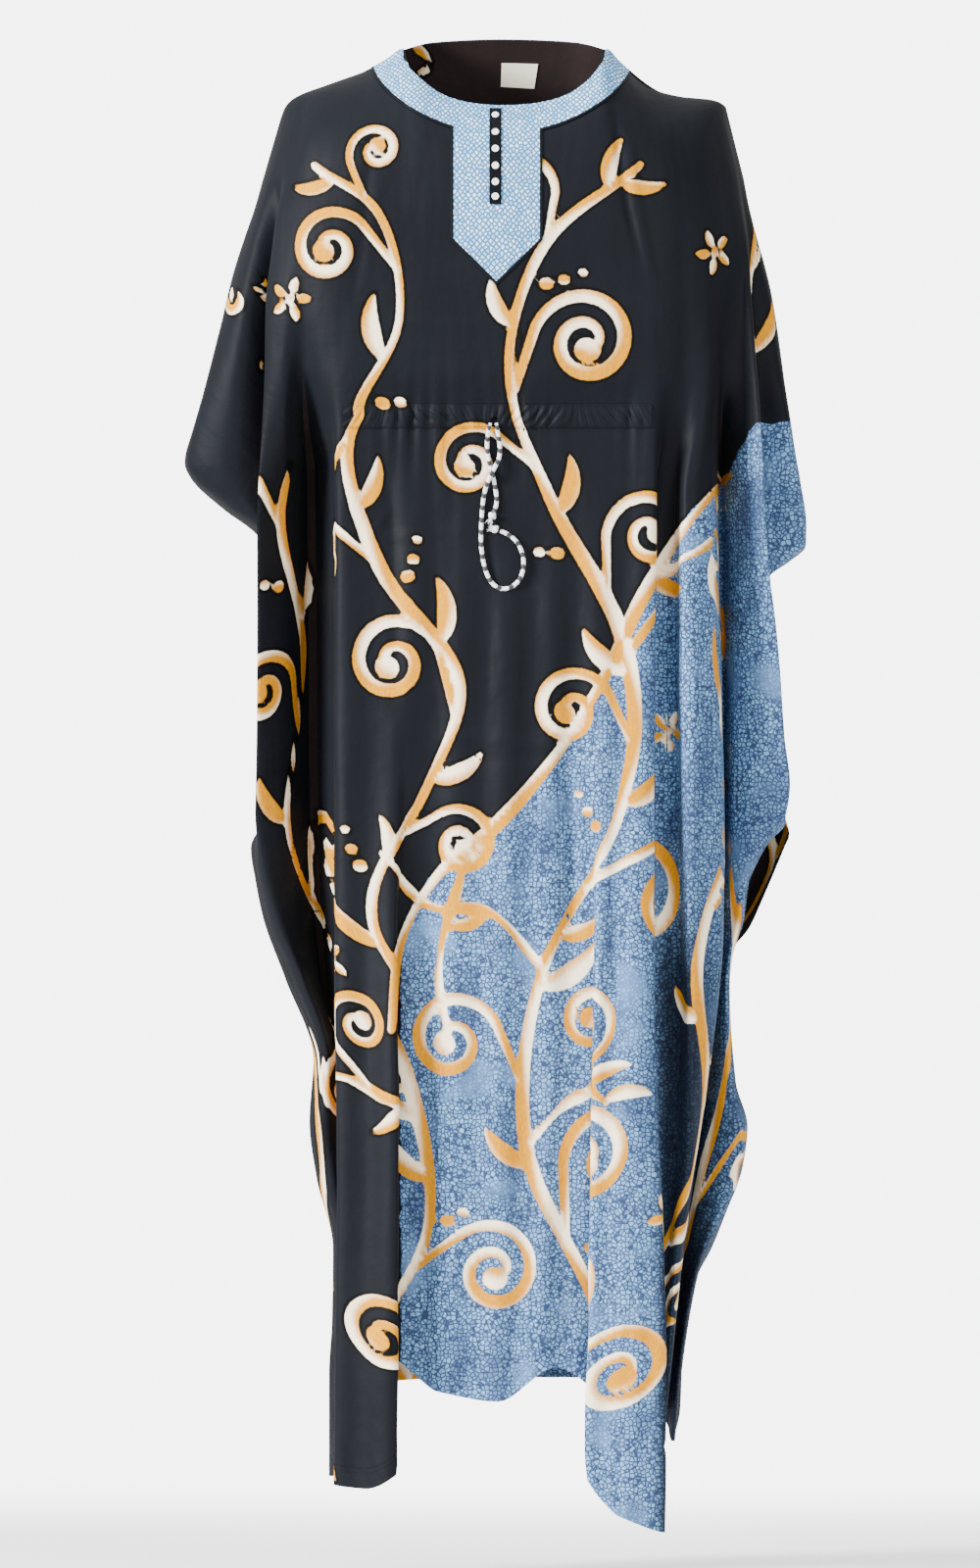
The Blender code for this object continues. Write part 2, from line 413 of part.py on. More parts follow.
class Panel:
    """A draped panel, the front (-1) or the back (+1), as a surface over its fold lines."""

    def __init__(self, folds, side):
        self.folds = folds
        self.side = side
        self.hems = np.array([fold[2] for fold in folds], float)
        self.tops = np.array([self.top_of(fold[1]) for fold in folds])
        self.slopes = np.array([self.slope_of(fold[1]) for fold in folds])
        corners = [("neck", 180), ("neck", 0)]
        self.corners = [i for i, fold in enumerate(folds) if fold[1] in corners]

    def top_of(self, start):
        kind, value = start
        if kind == "neck":
            return neck_point(value, self.side)
        return value, shoulder_drop(value), self.side * GAP / 2

    def slope_of(self, start):
        kind, value = start
        if kind == "neck":
            return NECK_SIDE_SLOPE + (NECK_SLOPE - NECK_SIDE_SLOPE) * math.sin(math.radians(value))
        from_neck = abs(value - NECK_X) - NECK_HALF_WIDTH
        return NECK_SIDE_SLOPE * max(0.0, 1 - from_neck / NECK_SLOPE_REACH)

    def line_at(self, index, drops):
        """The places (x, y) of one fold line at the given drops."""
        knots = self.folds[index][4]
        t = [knot[0] for knot in knots]
        x = smooth_curve(t, [knot[1] for knot in knots], drops)
        y = smooth_curve(t, [knot[2] for knot in knots], drops)
        y = np.where(np.abs(y) < GAP / 2, self.side * GAP / 2, y)
        return np.stack([x, y], axis=-1)

    def between(self, values, k, f, split=()):
        """A value between fold lines k and k + 1. A split line is a corner of the curve."""
        last = len(self.folds) - 1
        p1, p2 = values(k), values(k + 1)
        p0 = values(k - 1) if k > 0 and k not in split else 2 * p1 - p2
        p3 = values(k + 2) if k + 2 <= last and k + 1 not in split else 2 * p2 - p1
        return across(p0, p1, p2, p3, f)

    def columns(self, finer=1):
        """Every column as (fold line, share of the way to the next one)."""
        places = []
        for k, fold in enumerate(self.folds[:-1]):
            count = fold[3] * finer
            places += [(k, i / count) for i in range(count)]
        return places + [(len(self.folds) - 2, 1.0)]

    def column(self, k, f, round_rows, level_rows, hem_rows):
        """The points (x, y, drop) down one column."""
        top = self.between(lambda i: self.tops[i], k, f, self.corners)
        slope = self.slopes[k] + (self.slopes[k + 1] - self.slopes[k]) * f
        hem = float(self.between(lambda i: np.array([self.hems[i]]), k, f)[0])
        hem = min(max(hem, min(self.hems[k:k + 2])), max(self.hems[k:k + 2]))
        spread = SPREAD_FROM + (hem - SPREAD_FROM) * np.arange(1, hem_rows + 1) / hem_rows
        drops = np.concatenate([[CHEST], level_rows, spread])
        body = self.between(lambda i: self.line_at(i, drops), k, f)
        chest = body[0]
        turn = slope + (math.pi / 2 - slope) * np.arange(round_rows) / round_rows
        fall = (math.cos(slope) - np.cos(turn)) / math.cos(slope)
        reach = (np.sin(turn) - math.sin(slope)) / (1 - math.sin(slope))
        from_neck = max(0.0, abs(top[0] - NECK_X) - NECK_HALF_WIDTH) / SHOULDER_LENGTH
        spread = NECK_SPREAD * max(0.0, 1 - from_neck)
        rounded = np.stack([
            top[0] + (chest[0] - top[0]) * (fall + (reach - fall) * spread),
            top[2] + (chest[1] - top[2]) * reach,
            top[1] + (CHEST - top[1]) * fall], axis=-1)
        level = np.stack([body[:, 0], body[:, 1], drops], axis=-1)
        return np.concatenate([rounded, level])

    def grid(self, round_rows, level_rows, hem_rows, finer=1):
        """The surface as rows and columns of points in metres."""
        places = self.columns(finer)
        lines = [self.column(k, f, round_rows, level_rows, hem_rows) for k, f in places]
        points = np.stack(lines, axis=1)
        return np.stack([points[..., 0], points[..., 1], -points[..., 2]], axis=-1) * MM

    def seam_mask(self, grid):
        """Where a grid lies on the line that front and back share."""
        on_seam = np.abs(grid[..., 1]) < 0.51 * GAP * MM
        drops = -grid[..., 2] / MM
        mask = np.zeros(grid.shape[:2], bool)
        mask[0] = on_seam[0]
        mask[:, 0] = drops[:, 0] <= LEFT_CUFF_CORNER
        mask[:, -1] = drops[:, -1] <= RIGHT_CUFF_CORNER
        return mask


def unit(vectors):
    """The vectors at length one."""
    return vectors / np.maximum(np.linalg.norm(vectors, axis=-1, keepdims=True), 1e-12)


def grid_tangents(grid, axis):
    """The mean direction of the two stretches that meet at each point, along one axis."""
    count = grid.shape[axis]
    steps = unit(np.diff(grid, axis=axis))
    before = steps.take([0] + list(range(count - 1)), axis)
    after = steps.take(list(range(count - 1)) + [count - 2], axis)
    return before + after


def grid_normals(grid, side):
    """A unit normal at each point of a panel's grid, facing away from the body."""
    return unit(np.cross(grid_tangents(grid, 0), grid_tangents(grid, 1))) * side


def cell_triangles(grid, r, c):
    """The two triangles of one square of a grid, split along its shorter diagonal."""
    a, b, d, e = (r, c), (r, c + 1), (r + 1, c + 1), (r + 1, c)
    if np.linalg.norm(grid[a] - grid[d]) <= np.linalg.norm(grid[b] - grid[e]):
        return (a, b, d), (a, d, e)
    return (a, b, e), (b, d, e)


def cloth_wall(name, grid, normals, thickness, material, cells=None):
    """A closed wall of cloth around a grid of points; cells marks the squares that it has."""
    rows, columns = grid.shape[:2]
    if cells is None:
        cells = np.ones((rows - 1, columns - 1), bool)
    half = thickness * MM / 2
    mesh = bmesh.new()
    used = np.zeros((rows, columns), bool)
    for r, c in zip(*np.nonzero(cells)):
        used[r:r + 2, c:c + 2] = True
    outer, inner = {}, {}
    for r, c in zip(*np.nonzero(used)):
        outer[r, c] = mesh.verts.new(grid[r, c] + normals[r, c] * half)
        inner[r, c] = mesh.verts.new(grid[r, c] - normals[r, c] * half)
    for r, c in zip(*np.nonzero(cells)):
        for triangle in cell_triangles(grid, r, c):
            mesh.faces.new([outer[i] for i in triangle])
            mesh.faces.new([inner[i] for i in reversed(triangle)])
        corners = ((r, c), (r, c + 1), (r + 1, c + 1), (r + 1, c))
        for i, (dr, dc) in enumerate(((-1, 0), (0, 1), (1, 0), (0, -1))):
            first, second = corners[i], corners[(i + 1) % 4]
            nr, nc = r + dr, c + dc
            inside = 0 <= nr < rows - 1 and 0 <= nc < columns - 1
            if not (inside and cells[nr, nc]):
                mesh.faces.new([outer[first], inner[first], inner[second], outer[second]])
    bmesh.ops.recalc_face_normals(mesh, faces=mesh.faces)
    data = bpy.data.meshes.new(name)
    mesh.to_mesh(data)
    mesh.free()
    return add_object(name, data, material)


def add_object(name, data, material):
    """An object of the kaftan with one material, shaded smooth over its gentle turns."""
    data.materials.clear()
    data.materials.append(material)
    part = bpy.data.objects.new(name, data)
    PARTS.objects.link(part)
    if isinstance(data, bpy.types.Mesh):
        data.shade_smooth()
        data.set_sharp_from_angle(angle=math.radians(40))
    return part


def surface_tree(grid):
    """A search tree over a grid of points."""
    rows, columns = grid.shape[:2]
    points = [Vector(point) for point in grid.reshape(-1, 3)]
    faces = [[r * columns + c for r, c in triangle]
             for i, j in np.ndindex(rows - 1, columns - 1) for triangle in cell_triangles(grid, i, j)]
    return BVHTree.FromPolygons(points, faces)


def mesh_tree(data):
    """A search tree over a mesh."""
    return BVHTree.FromPolygons([vertex.co for vertex in data.vertices],
                                [face.vertices for face in data.polygons])


def seen_from(tree, x, drop, side, guess=0.0):
    """The surface's point at x and drop, seen from the front (-1) or the back (+1)."""
    hit = tree.ray_cast(Vector((x * MM, side * 1.0, -drop * MM)), Vector((0, -side, 0)))[0]
    if hit is None:
        hit = tree.find_nearest(Vector((x, guess, -drop)) * MM)[0]
    return np.array(hit)


def band_outer_point(angle):
    """The outer edge (x, drop) of the neck band, seen from the front."""
    turn = math.radians(angle)
    fall = abs(math.sin(turn)) ** BAND_SAG
    return (BAND_X + BAND_HALF_WIDTH * math.cos(turn),
            BAND_SIDE_DROP + (BAND_FRONT_DROP - BAND_SIDE_DROP) * fall)


def yoke_bottom(x):
    """Drop of the yoke's lower edge at x."""
    tip_x, tip_drop = YOKE_POINT
    side_x = YOKE_LEFT if x < tip_x else YOKE_RIGHT
    return tip_drop + (YOKE_SHOULDER_DROP - tip_drop) * (x - tip_x) / (side_x - tip_x)


def band_angles():
    """Angles of the band's columns, with the yoke's sides and point among them."""
    def angle_at(x):
        return math.degrees(math.acos((x - BAND_X) / BAND_HALF_WIDTH))
    marks = (180.0, angle_at(YOKE_LEFT), angle_at(YOKE_POINT[0]), angle_at(YOKE_RIGHT), 0.0)
    counts = (11, 4, 4, 11)
    angles = []
    for first, last, count in zip(marks, marks[1:], counts):
        angles += [first + (last - first) * i / count for i in range(count)]
    return angles + [0.0], counts[0], counts[0] + counts[1] + counts[2]


def band_grid(tree, side):
    """The neck band of one side, laid on the panel, with the yoke's rows on the front."""
    angles, yoke_first, yoke_last = band_angles()
    rows = BAND_STEPS + 1 + (YOKE_STEPS if side < 0 else 0)
    grid = np.zeros((rows, len(angles), 3))
    for c, angle in enumerate(angles):
        x, drop, y = neck_point(angle, side)
        inner = np.array((x, y, -drop)) * MM
        if side < 0:
            outer_x, outer_drop = band_outer_point(angle)
            depth = NECK_FRONT_DEPTH * math.sin(math.radians(angle))
            outer = seen_from(tree, outer_x, outer_drop, side, -depth)
        else:
            away = np.array((math.cos(math.radians(angle)), math.sin(math.radians(angle)), 0.0))
            target = inner + away * BAND_WIDTH * MM
            target[2] -= BAND_WIDTH * 0.5 * MM
            outer = np.array(tree.find_nearest(Vector(target))[0])
        if c in (0, len(angles) - 1):
            edge_x = band_outer_point(angle)[0]
            outer = np.array((edge_x, side * GAP / 2, -shoulder_drop(edge_x))) * MM
        for r in range(BAND_STEPS + 1):
            target = inner + (outer - inner) * r / BAND_STEPS
            if c in (0, len(angles) - 1):
                target[2] = -shoulder_drop(target[0] / MM) * MM
                grid[r, c] = target
            else:
                grid[r, c] = tree.find_nearest(Vector(target))[0]
        for r in range(BAND_STEPS + 1, rows):
            share = (r - BAND_STEPS) / YOKE_STEPS
            outer_x, outer_drop = band_outer_point(angle)
            if yoke_first <= c <= yoke_last:
                bottom = yoke_bottom(outer_x)
                grid[r, c] = seen_from(tree, outer_x, outer_drop + (bottom - outer_drop) * share, side)
            else:
                grid[r, c] = grid[BAND_STEPS, c]
    cells = np.ones((rows - 1, len(angles) - 1), bool)
    cells[BAND_STEPS:, :yoke_first] = False
    cells[BAND_STEPS:, yoke_last:] = False
    return grid, cells


def lay_normals(tree, grid, side, flat_ends=False):
    """Normals of the surface under each point, facing away from the body."""
    normals = np.zeros_like(grid)
    for place in np.ndindex(grid.shape[:2]):
        normal = np.array(tree.find_nearest(Vector(grid[place]))[1])
        outward = np.array((grid[place][0] - NECK_X * MM, side * 0.15, 0.25))
        normals[place] = normal if normal @ outward > 0 else -normal
    smooth = normals.copy()
    for axis in (0, 1):
        padded = np.concatenate([smooth.take([0], axis), smooth, smooth.take([-1], axis)], axis)
        count = smooth.shape[axis]
        smooth = (padded.take(range(0, count), axis) + 2 * smooth + padded.take(range(2, count + 2), axis))
    if flat_ends:
        smooth[:, 0, 1] = 0
        smooth[:, -1, 1] = 0
    return unit(smooth)


def triangle_samples(corners):
    """Points spread over a triangle."""
    n = SAMPLE_STEPS
    for i in range(n + 1):
        for j in range(n + 1 - i):
            yield (corners[0] * i + corners[1] * j + corners[2] * (n - i - j)) / n


def lift_grid(facets, grid, normals, height):
    """The grid moved out until all of its triangles lie a height above the built facets."""
    reach = 15 * MM
    lifted = grid.copy()
    for place in np.ndindex(grid.shape[:2]):
        point, normal = grid[place], normals[place]
        hit = facets.ray_cast(Vector(point + normal * reach), Vector(-normal), 2 * reach)[0]
        rise = 0.0 if hit is None else max(0.0, float((np.array(hit) - point) @ normal))
        lifted[place] += normal * (rise + height * MM)
    for _ in range(LIFT_ROUNDS):
        rises = np.zeros(grid.shape[:2])
        for r, c in np.ndindex(grid.shape[0] - 1, grid.shape[1] - 1):
            for triangle in cell_triangles(lifted, r, c):
                corners = [lifted[place] for place in triangle]
                for point in triangle_samples(corners):
                    hit, _, _, distance = facets.find_nearest(Vector(point))
                    inside = (point - np.array(hit)) @ normals[r, c] < -INSIDE_DEPTH * MM
                    rise = height * MM + (distance if inside else -distance)
                    for place in triangle:
                        rises[place] = max(rises[place], rise)
        lifted += normals * rises[..., None]
    return lifted


def stand_off(points, outward, solids, radius):
    """How far points must move outward to keep a radius and a gap from the solids laid so far."""
    shift = 0.0
    for _ in range(SHIFT_ROUNDS):
        short = 0.0
        for point in points:
            for tree, half in solids:
                near = tree.find_nearest(Vector(point + outward * shift))[3]
                short = max(short, (half + GAP + radius) * MM - near)
        shift += short
    return shift


def piping_grid(tree, path, side):
    """A narrow strip that runs beside a path on a surface, on its outer side."""
    normals = lay_normals(tree, path[None], side)[0]
    steps = unit(np.diff(path, axis=0))
    before = np.concatenate([steps[:1], steps])
    after = np.concatenate([steps, steps[-1:]])
    along = unit(before + after)
    mitre = np.minimum(1 / np.sum(along * after, axis=1), MITRE_LIMIT)
    out = unit(np.cross(along, normals)) * mitre[:, None]
    grid = np.zeros((2, len(path), 3))
    for r, distance in enumerate((PIPING_GAP, PIPING_GAP + PIPING_WIDTH)):
        for c, point in enumerate(path + out * distance * MM):
            grid[r, c] = tree.find_nearest(Vector(point))[0]
    for c in (0, -1):
        grid[:, c, 1] = side * GAP / 2 * MM
        for r in (0, 1):
            grid[r, c, 2] = -shoulder_drop(grid[r, c, 0] / MM) * MM
    return grid


def band_edge(grid):
    """The outer edge of the front band and yoke, from the right shoulder to the left one."""
    _, first, last = band_angles()
    left = grid[BAND_STEPS, :first + 1]
    down = grid[BAND_STEPS + 1:, first]
    under = grid[-1, first + 1:last]
    up = grid[BAND_STEPS:, last][::-1]
    right = grid[BAND_STEPS, last + 1:]
    return np.concatenate([left, down, under, up, right])


def patch_grid(tree, corners, steps, side):
    """A four-cornered patch on a surface, its corners (x, drop) clockwise from the upper left."""
    rows, columns = steps
    upper_left, upper_right, lower_right, lower_left = (np.array(corner, float) for corner in corners)
    grid = np.zeros((rows + 1, columns + 1, 3))
    for r, c in np.ndindex(rows + 1, columns + 1):
        v, u = r / rows, c / columns
        upper = upper_left + (upper_right - upper_left) * u
        lower = lower_left + (lower_right - lower_left) * u
        x, drop = upper + (lower - upper) * v
        grid[r, c] = seen_from(tree, x, drop, side)
    return grid


def rectangle(x_first, x_last, drop_first, drop_last):
    """The corners of a level patch."""
    return ((x_first, drop_first), (x_last, drop_first), (x_last, drop_last), (x_first, drop_last))


def surface_frame(tree, x, drop):
    """A point on the front of a surface and the direction straight away from it."""
    point = seen_from(tree, x, drop, -1)
    normal = np.array(tree.find_nearest(Vector(point))[1])
    return point, unit(normal if normal[1] < 0 else -normal)


def add_turned(name, mesh_maker, centre, axis, material):
    """An object from a bmesh whose Z axis is turned to a direction."""
    mesh = bmesh.new()
    mesh_maker(mesh)
    bmesh.ops.rotate(mesh, verts=mesh.verts,
                     matrix=Vector((0, 0, 1)).rotation_difference(Vector(axis)).to_matrix())
    bmesh.ops.translate(mesh, verts=mesh.verts, vec=Vector(centre))
    data = bpy.data.meshes.new(name)
    mesh.to_mesh(data)
    mesh.free()
    return add_object(name, data, material)


def button_mesh(mesh):
    """A flat round button with rounded edges."""
    bmesh.ops.create_cone(mesh, cap_ends=True, segments=16, radius1=BUTTON_DIAMETER / 2 * MM,
                          radius2=BUTTON_DIAMETER / 2 * MM, depth=BUTTON_THICKNESS * MM)
    rims = [edge for edge in mesh.edges if abs(edge.verts[0].co.z - edge.verts[1].co.z) < 1e-6]
    bmesh.ops.bevel(mesh, geom=rims, offset=BUTTON_BEVEL * MM, segments=1, affect="EDGES")


def knot_mesh(mesh):
    """A round knot, a little flattened along the cord."""
    bmesh.ops.create_uvsphere(mesh, u_segments=14, v_segments=9, radius=KNOT_DIAMETER / 2 * MM)


def add_eyelet(centre, axis, material):
    """A ring of thread around the hole that the drawstring leaves by."""
    turn = Vector((0, 0, 1)).rotation_difference(Vector(axis)).to_euler()
    bpy.ops.mesh.primitive_torus_add(
        location=centre, rotation=turn, major_segments=20, minor_segments=6,
        major_radius=EYELET_RADIUS * MM, minor_radius=EYELET_THREAD * MM)
    ring = bpy.context.object
    ring.data.transform(ring.matrix_world)
    ring.matrix_world.identity()
    data = ring.data
    bpy.data.objects.remove(ring)
    return add_object("eyelet", data, material)


def strand_path(tree, solids, rows):
    """Centre points of a strand that lies on what was laid so far, even steps apart."""
    rows = np.array(rows, float)
    padded = np.concatenate([[2 * rows[0] - rows[1]], rows, [2 * rows[-1] - rows[-2]]])
    dense = np.concatenate([[across(*padded[i:i + 4], f) for f in np.linspace(0, 1, 12, False)]
                            for i in range(len(rows) - 1)] + [rows[-1:]])
    travelled = np.concatenate([[0], np.cumsum(np.linalg.norm(np.diff(dense, axis=0), axis=1))])
    count = round(travelled[-1] / CORD_STEP) + 1
    places = np.linspace(0, travelled[-1], count)
    points, outwards = [], []
    for x, drop, lift in zip(*(np.interp(places, travelled, dense[:, k]) for k in range(3))):
        point, outward = surface_frame(tree, x, drop)
        shift = stand_off([point], outward, solids, CORD_DIAMETER / 2)
        points.append(point + outward * (shift + lift * MM))
        outwards.append(outward)
    points, outwards = np.array(points), np.array(outwards)
    for i in range(count - 1):
        between = [points[i] + (points[i + 1] - points[i]) * share for share in (0.25, 0.5, 0.75)]
        shift = stand_off(between, outwards[i], solids, CORD_DIAMETER / 2)
        points[i:i + 2] += outwards[i] * shift
    return points


def add_strand(name, points, material):
    """A round cord through the points."""
    curve = bpy.data.curves.new(name, "CURVE")
    curve.dimensions = "3D"
    curve.bevel_depth = CORD_DIAMETER / 2 * MM
    curve.bevel_resolution = 2
    curve.use_fill_caps = True
    spline = curve.splines.new("POLY")
    spline.points.add(len(points) - 1)
    for place, point in zip(spline.points, points):
        place.co = (*point, 1)
    return add_object(name, curve, material)


def build():
    """Build every piece."""
    black = make_material("black_cloth", (0.02, 0.024, 0.03), 0.6)
    blue = make_material("blue_cloth", (0.25, 0.39, 0.6), 0.6)
    white = make_material("white", (0.85, 0.86, 0.86), 0.4)
    front = Panel(FRONT_FOLDS, -1)
    back = Panel(BACK_FOLDS, 1)

    facets = {}
    for name, panel, level_rows, hem_rows in (("front_panel", front, FRONT_ROWS, FRONT_HEM_ROWS),
                                              ("back_panel", back, BACK_ROWS, BACK_HEM_ROWS)):
        grid = panel.grid(ROUND_ROWS, level_rows, hem_rows)
        facets[panel.side] = surface_tree(grid)
        normals = grid_normals(grid, panel.side)
        seam = panel.seam_mask(grid)
        for end, beside in ((0, 1), (-1, -2)):
            normals[0, end] = normals[0, beside] + normals[1, end]
        normals[seam, 1] = 0
        cloth_wall(name, grid, unit(normals), WALL, black)

    front_tree = surface_tree(front.grid(ROUND_ROWS * 3, FRONT_ROWS, FRONT_HEM_ROWS, 3))
    back_tree = surface_tree(back.grid(ROUND_ROWS * 3, BACK_ROWS, BACK_HEM_ROWS, 3))
    band_height = WALL / 2 + LAY_GAP + TRIM_WALL / 2
    bands = {}
    for name, tree, side in (("neck_band_front", front_tree, -1), ("neck_band_back", back_tree, 1)):
        grid, cells = band_grid(tree, side)
        bands[side] = grid
        normals = lay_normals(tree, grid, side, True)
        lifted = lift_grid(facets[side], grid, normals, band_height)
        cloth_wall(name, lifted, normals, TRIM_WALL, blue, cells)
        if side < 0:
            band_facets = surface_tree(lifted)

    grid = piping_grid(front_tree, band_edge(bands[-1]), -1)
    normals = lay_normals(front_tree, grid, -1, True)
    cloth_wall("piping", lift_grid(facets[-1], grid, normals, band_height), normals, TRIM_WALL, black)

    corners = rectangle(PLACKET_X - PLACKET_WIDTH / 2, PLACKET_X + PLACKET_WIDTH / 2, *PLACKET_DROPS)
    grid = patch_grid(band_facets, corners, PLACKET_STEPS, -1)
    normals = lay_normals(band_facets, grid, -1)
    lifted = lift_grid(band_facets, grid, normals, TRIM_WALL + LAY_GAP)
    cloth_wall("placket", lifted, normals, TRIM_WALL, black)
    placket_facets = surface_tree(lifted)

    rim = [(math.cos(turn) * BUTTON_DIAMETER / 2, math.sin(turn) * BUTTON_DIAMETER / 2)
           for turn in np.linspace(0, math.tau, 12, False)]
    for number, drop in enumerate(BUTTON_DROPS, 1):
        point, outward = surface_frame(placket_facets, PLACKET_X, drop)
        right = unit(np.cross((0, 0, 1), outward))
        up = np.cross(outward, right)
        under = [point + (right * u + up * v) * MM for u, v in rim] + [point]
        shift = stand_off(under, outward, [(placket_facets, TRIM_WALL / 2)], 0)
        centre = point + outward * (shift + BUTTON_THICKNESS / 2 * MM)
        add_turned(f"button_{number}", button_mesh, centre, outward, white)

    grid = patch_grid(front_tree, rectangle(*CASING_X, *CASING_DROPS),
                      (CASING_ROWS, CASING_PUCKERS * 2), -1)
    normals = lay_normals(front_tree, grid, -1)
    lifted = lift_grid(facets[-1], grid, normals, band_height)
    lifted[:, 1::2] += normals[:, 1::2] * CASING_PUCKER_HEIGHT * MM
    cloth_wall("casing", lifted, normals, TRIM_WALL, black)
    casing_facets = surface_tree(lifted)

    solids = [(facets[-1], WALL / 2), (casing_facets, TRIM_WALL / 2)]
    point, outward = surface_frame(casing_facets, *EYELET)
    right = unit(np.cross((0, 0, 1), outward))
    up = np.cross(outward, right)
    ring = [point + (right * math.cos(turn) + up * math.sin(turn)) * EYELET_RADIUS * MM
            for turn in np.linspace(0, math.tau, 20, False)]
    shift = stand_off(ring, outward, solids, EYELET_THREAD)
    eyelet = add_eyelet(point + outward * shift, outward, black)
    solids.append((mesh_tree(eyelet.data), 0))

    for name, rows in (("short", SHORT_STRAND), ("long", LONG_STRAND)):
        points = strand_path(front_tree, solids, rows)
        add_strand(f"drawstring_{name}", points, white)
        onward = unit(points[-1] - points[-2])
        centre = points[-1] + onward * (KNOT_DIAMETER / 2 + GAP) * MM
        add_turned(f"knot_{name}", knot_mesh, centre, onward, white)

    grid = patch_grid(back_tree, LABEL_CORNERS, (LABEL_STEPS, LABEL_STEPS), -1)
    normals = -lay_normals(back_tree, grid, 1)
    lifted = lift_grid(facets[1], grid, normals, (WALL + LABEL_WALL) / 2 + LAY_GAP)
    cloth_wall("label", lifted, normals, LABEL_WALL, white)


for old in list(bpy.data.objects):
    bpy.data.objects.remove(old, do_unlink=True)
PARTS = bpy.data.collections.new("Kaftan")
bpy.context.scene.collection.children.link(PARTS)
build()
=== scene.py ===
"""Looks of a long batwing kaftan: printed cloth, trims, drawstring and sewing.

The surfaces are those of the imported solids, made finer, with creases. The tables are in millimetres:
x across (the wearer's left is +x), y front to back (front is -y) and drop, the distance down from
the side of the neck. The pieces are in metres, Z up.
"""

import math

import bmesh
import bpy
import numpy as np
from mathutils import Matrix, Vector
from mathutils.bvhtree import BVHTree


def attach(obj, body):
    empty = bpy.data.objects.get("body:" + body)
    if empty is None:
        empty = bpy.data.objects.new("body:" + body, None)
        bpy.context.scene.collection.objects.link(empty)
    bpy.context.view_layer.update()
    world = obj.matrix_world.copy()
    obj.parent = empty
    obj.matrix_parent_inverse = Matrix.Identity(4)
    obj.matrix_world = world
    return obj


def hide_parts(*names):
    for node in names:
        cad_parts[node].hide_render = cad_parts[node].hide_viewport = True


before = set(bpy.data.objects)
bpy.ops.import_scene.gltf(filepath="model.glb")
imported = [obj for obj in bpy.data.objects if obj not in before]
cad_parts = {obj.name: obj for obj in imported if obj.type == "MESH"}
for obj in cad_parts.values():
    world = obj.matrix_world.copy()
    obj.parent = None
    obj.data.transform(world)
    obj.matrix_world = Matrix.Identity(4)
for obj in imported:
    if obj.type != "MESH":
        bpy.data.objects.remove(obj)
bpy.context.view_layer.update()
MM = 0.001

# Walls and gaps
CLOTH = 1.2
TRIM_CLOTH = 0.9
GAP = 0.3
LAY_GAP = 0.4

# The shape of the panels, as in the solids
CHEST = 120.0
SPREAD_FROM = 1200.0

# Neck opening, an oval with flattened sides
NECK_X = 7.0
NECK_HALF_WIDTH = 103.0
NECK_SIDE_DROP = -11.0
NECK_FRONT_DROP = 50.0
NECK_BACK_DROP = -24.0
NECK_FRONT_DEPTH = 82.0
NECK_BACK_DEPTH = 62.0
NECK_SQUARENESS = 0.8
NECK_DROP_POWER = 1.15
NECK_DEPTH_POWER = 0.55
NECK_SLOPE = math.radians(48)
NECK_SIDE_SLOPE = math.radians(30)
NECK_SLOPE_REACH = 90.0
NECK_SPREAD = 0.6
SHOULDER_LENGTH = 120.0

# How near the middle plane the edges shared by front and back lie
ON_SEAM = 0.51 * GAP

# The line of the shoulders, seen from the front: x, drop
SHOULDER_LINE = (
    (-222, 60), (-216, 46), (-207, 38), (-185, 29), (-160, 20), (-130, 9), (-112, -1), (-96, -11),
    (110, -11), (122, 0), (133, 11), (147, 24), (165, 32), (193, 38), (216, 40), (227, 43), (233, 48),
)

# The top edge of each sleeve and, below the cuff's corner, the loose edge of the front wing
LEFT_SLEEVE_TOP = (
    (120, -239.5, 0), (150, -248, 0), (188, -261, 0), (220, -271, 0), (258, -280, 0),
    (312, -293, 0), (370, -309, 0), (412, -320, 0),
)
RIGHT_SLEEVE_TOP = (
    (120, 251, 0), (151, 257, 0), (241, 280, 0), (344, 295, 0), (396, 302, 0), (430, 309, 0),
    (475, 315, 0), (496, 315, 0),
)
LEFT_CUFF_CORNER = LEFT_SLEEVE_TOP[-1][0]
RIGHT_CUFF_CORNER = RIGHT_SLEEVE_TOP[-1][0]

# Side seams, shared by both panels: drop, x
LEFT_SEAM = ((420, -192), (600, -190), (805, -188), (940, -178), (1022, -160), (1141, -144),
             (1289, -137), (1400, -136))
RIGHT_SEAM = ((420, 227), (600, 230), (805, 231), (880, 222), (940, 214), (1045, 209), (1141, 198),
              (1250, 178), (1380, 162))
SEAM_Y = 0.95
LEFT_SEAM_HEM = LEFT_SEAM[-1][0]
RIGHT_SEAM_HEM = RIGHT_SEAM[-1][0]


def seam_knots(seam, side):
    """The knots (drop, x, y) of a side seam on the panel of one side, front -1 or back +1."""
    return tuple((drop, x, side * SEAM_Y) for drop, x in seam)


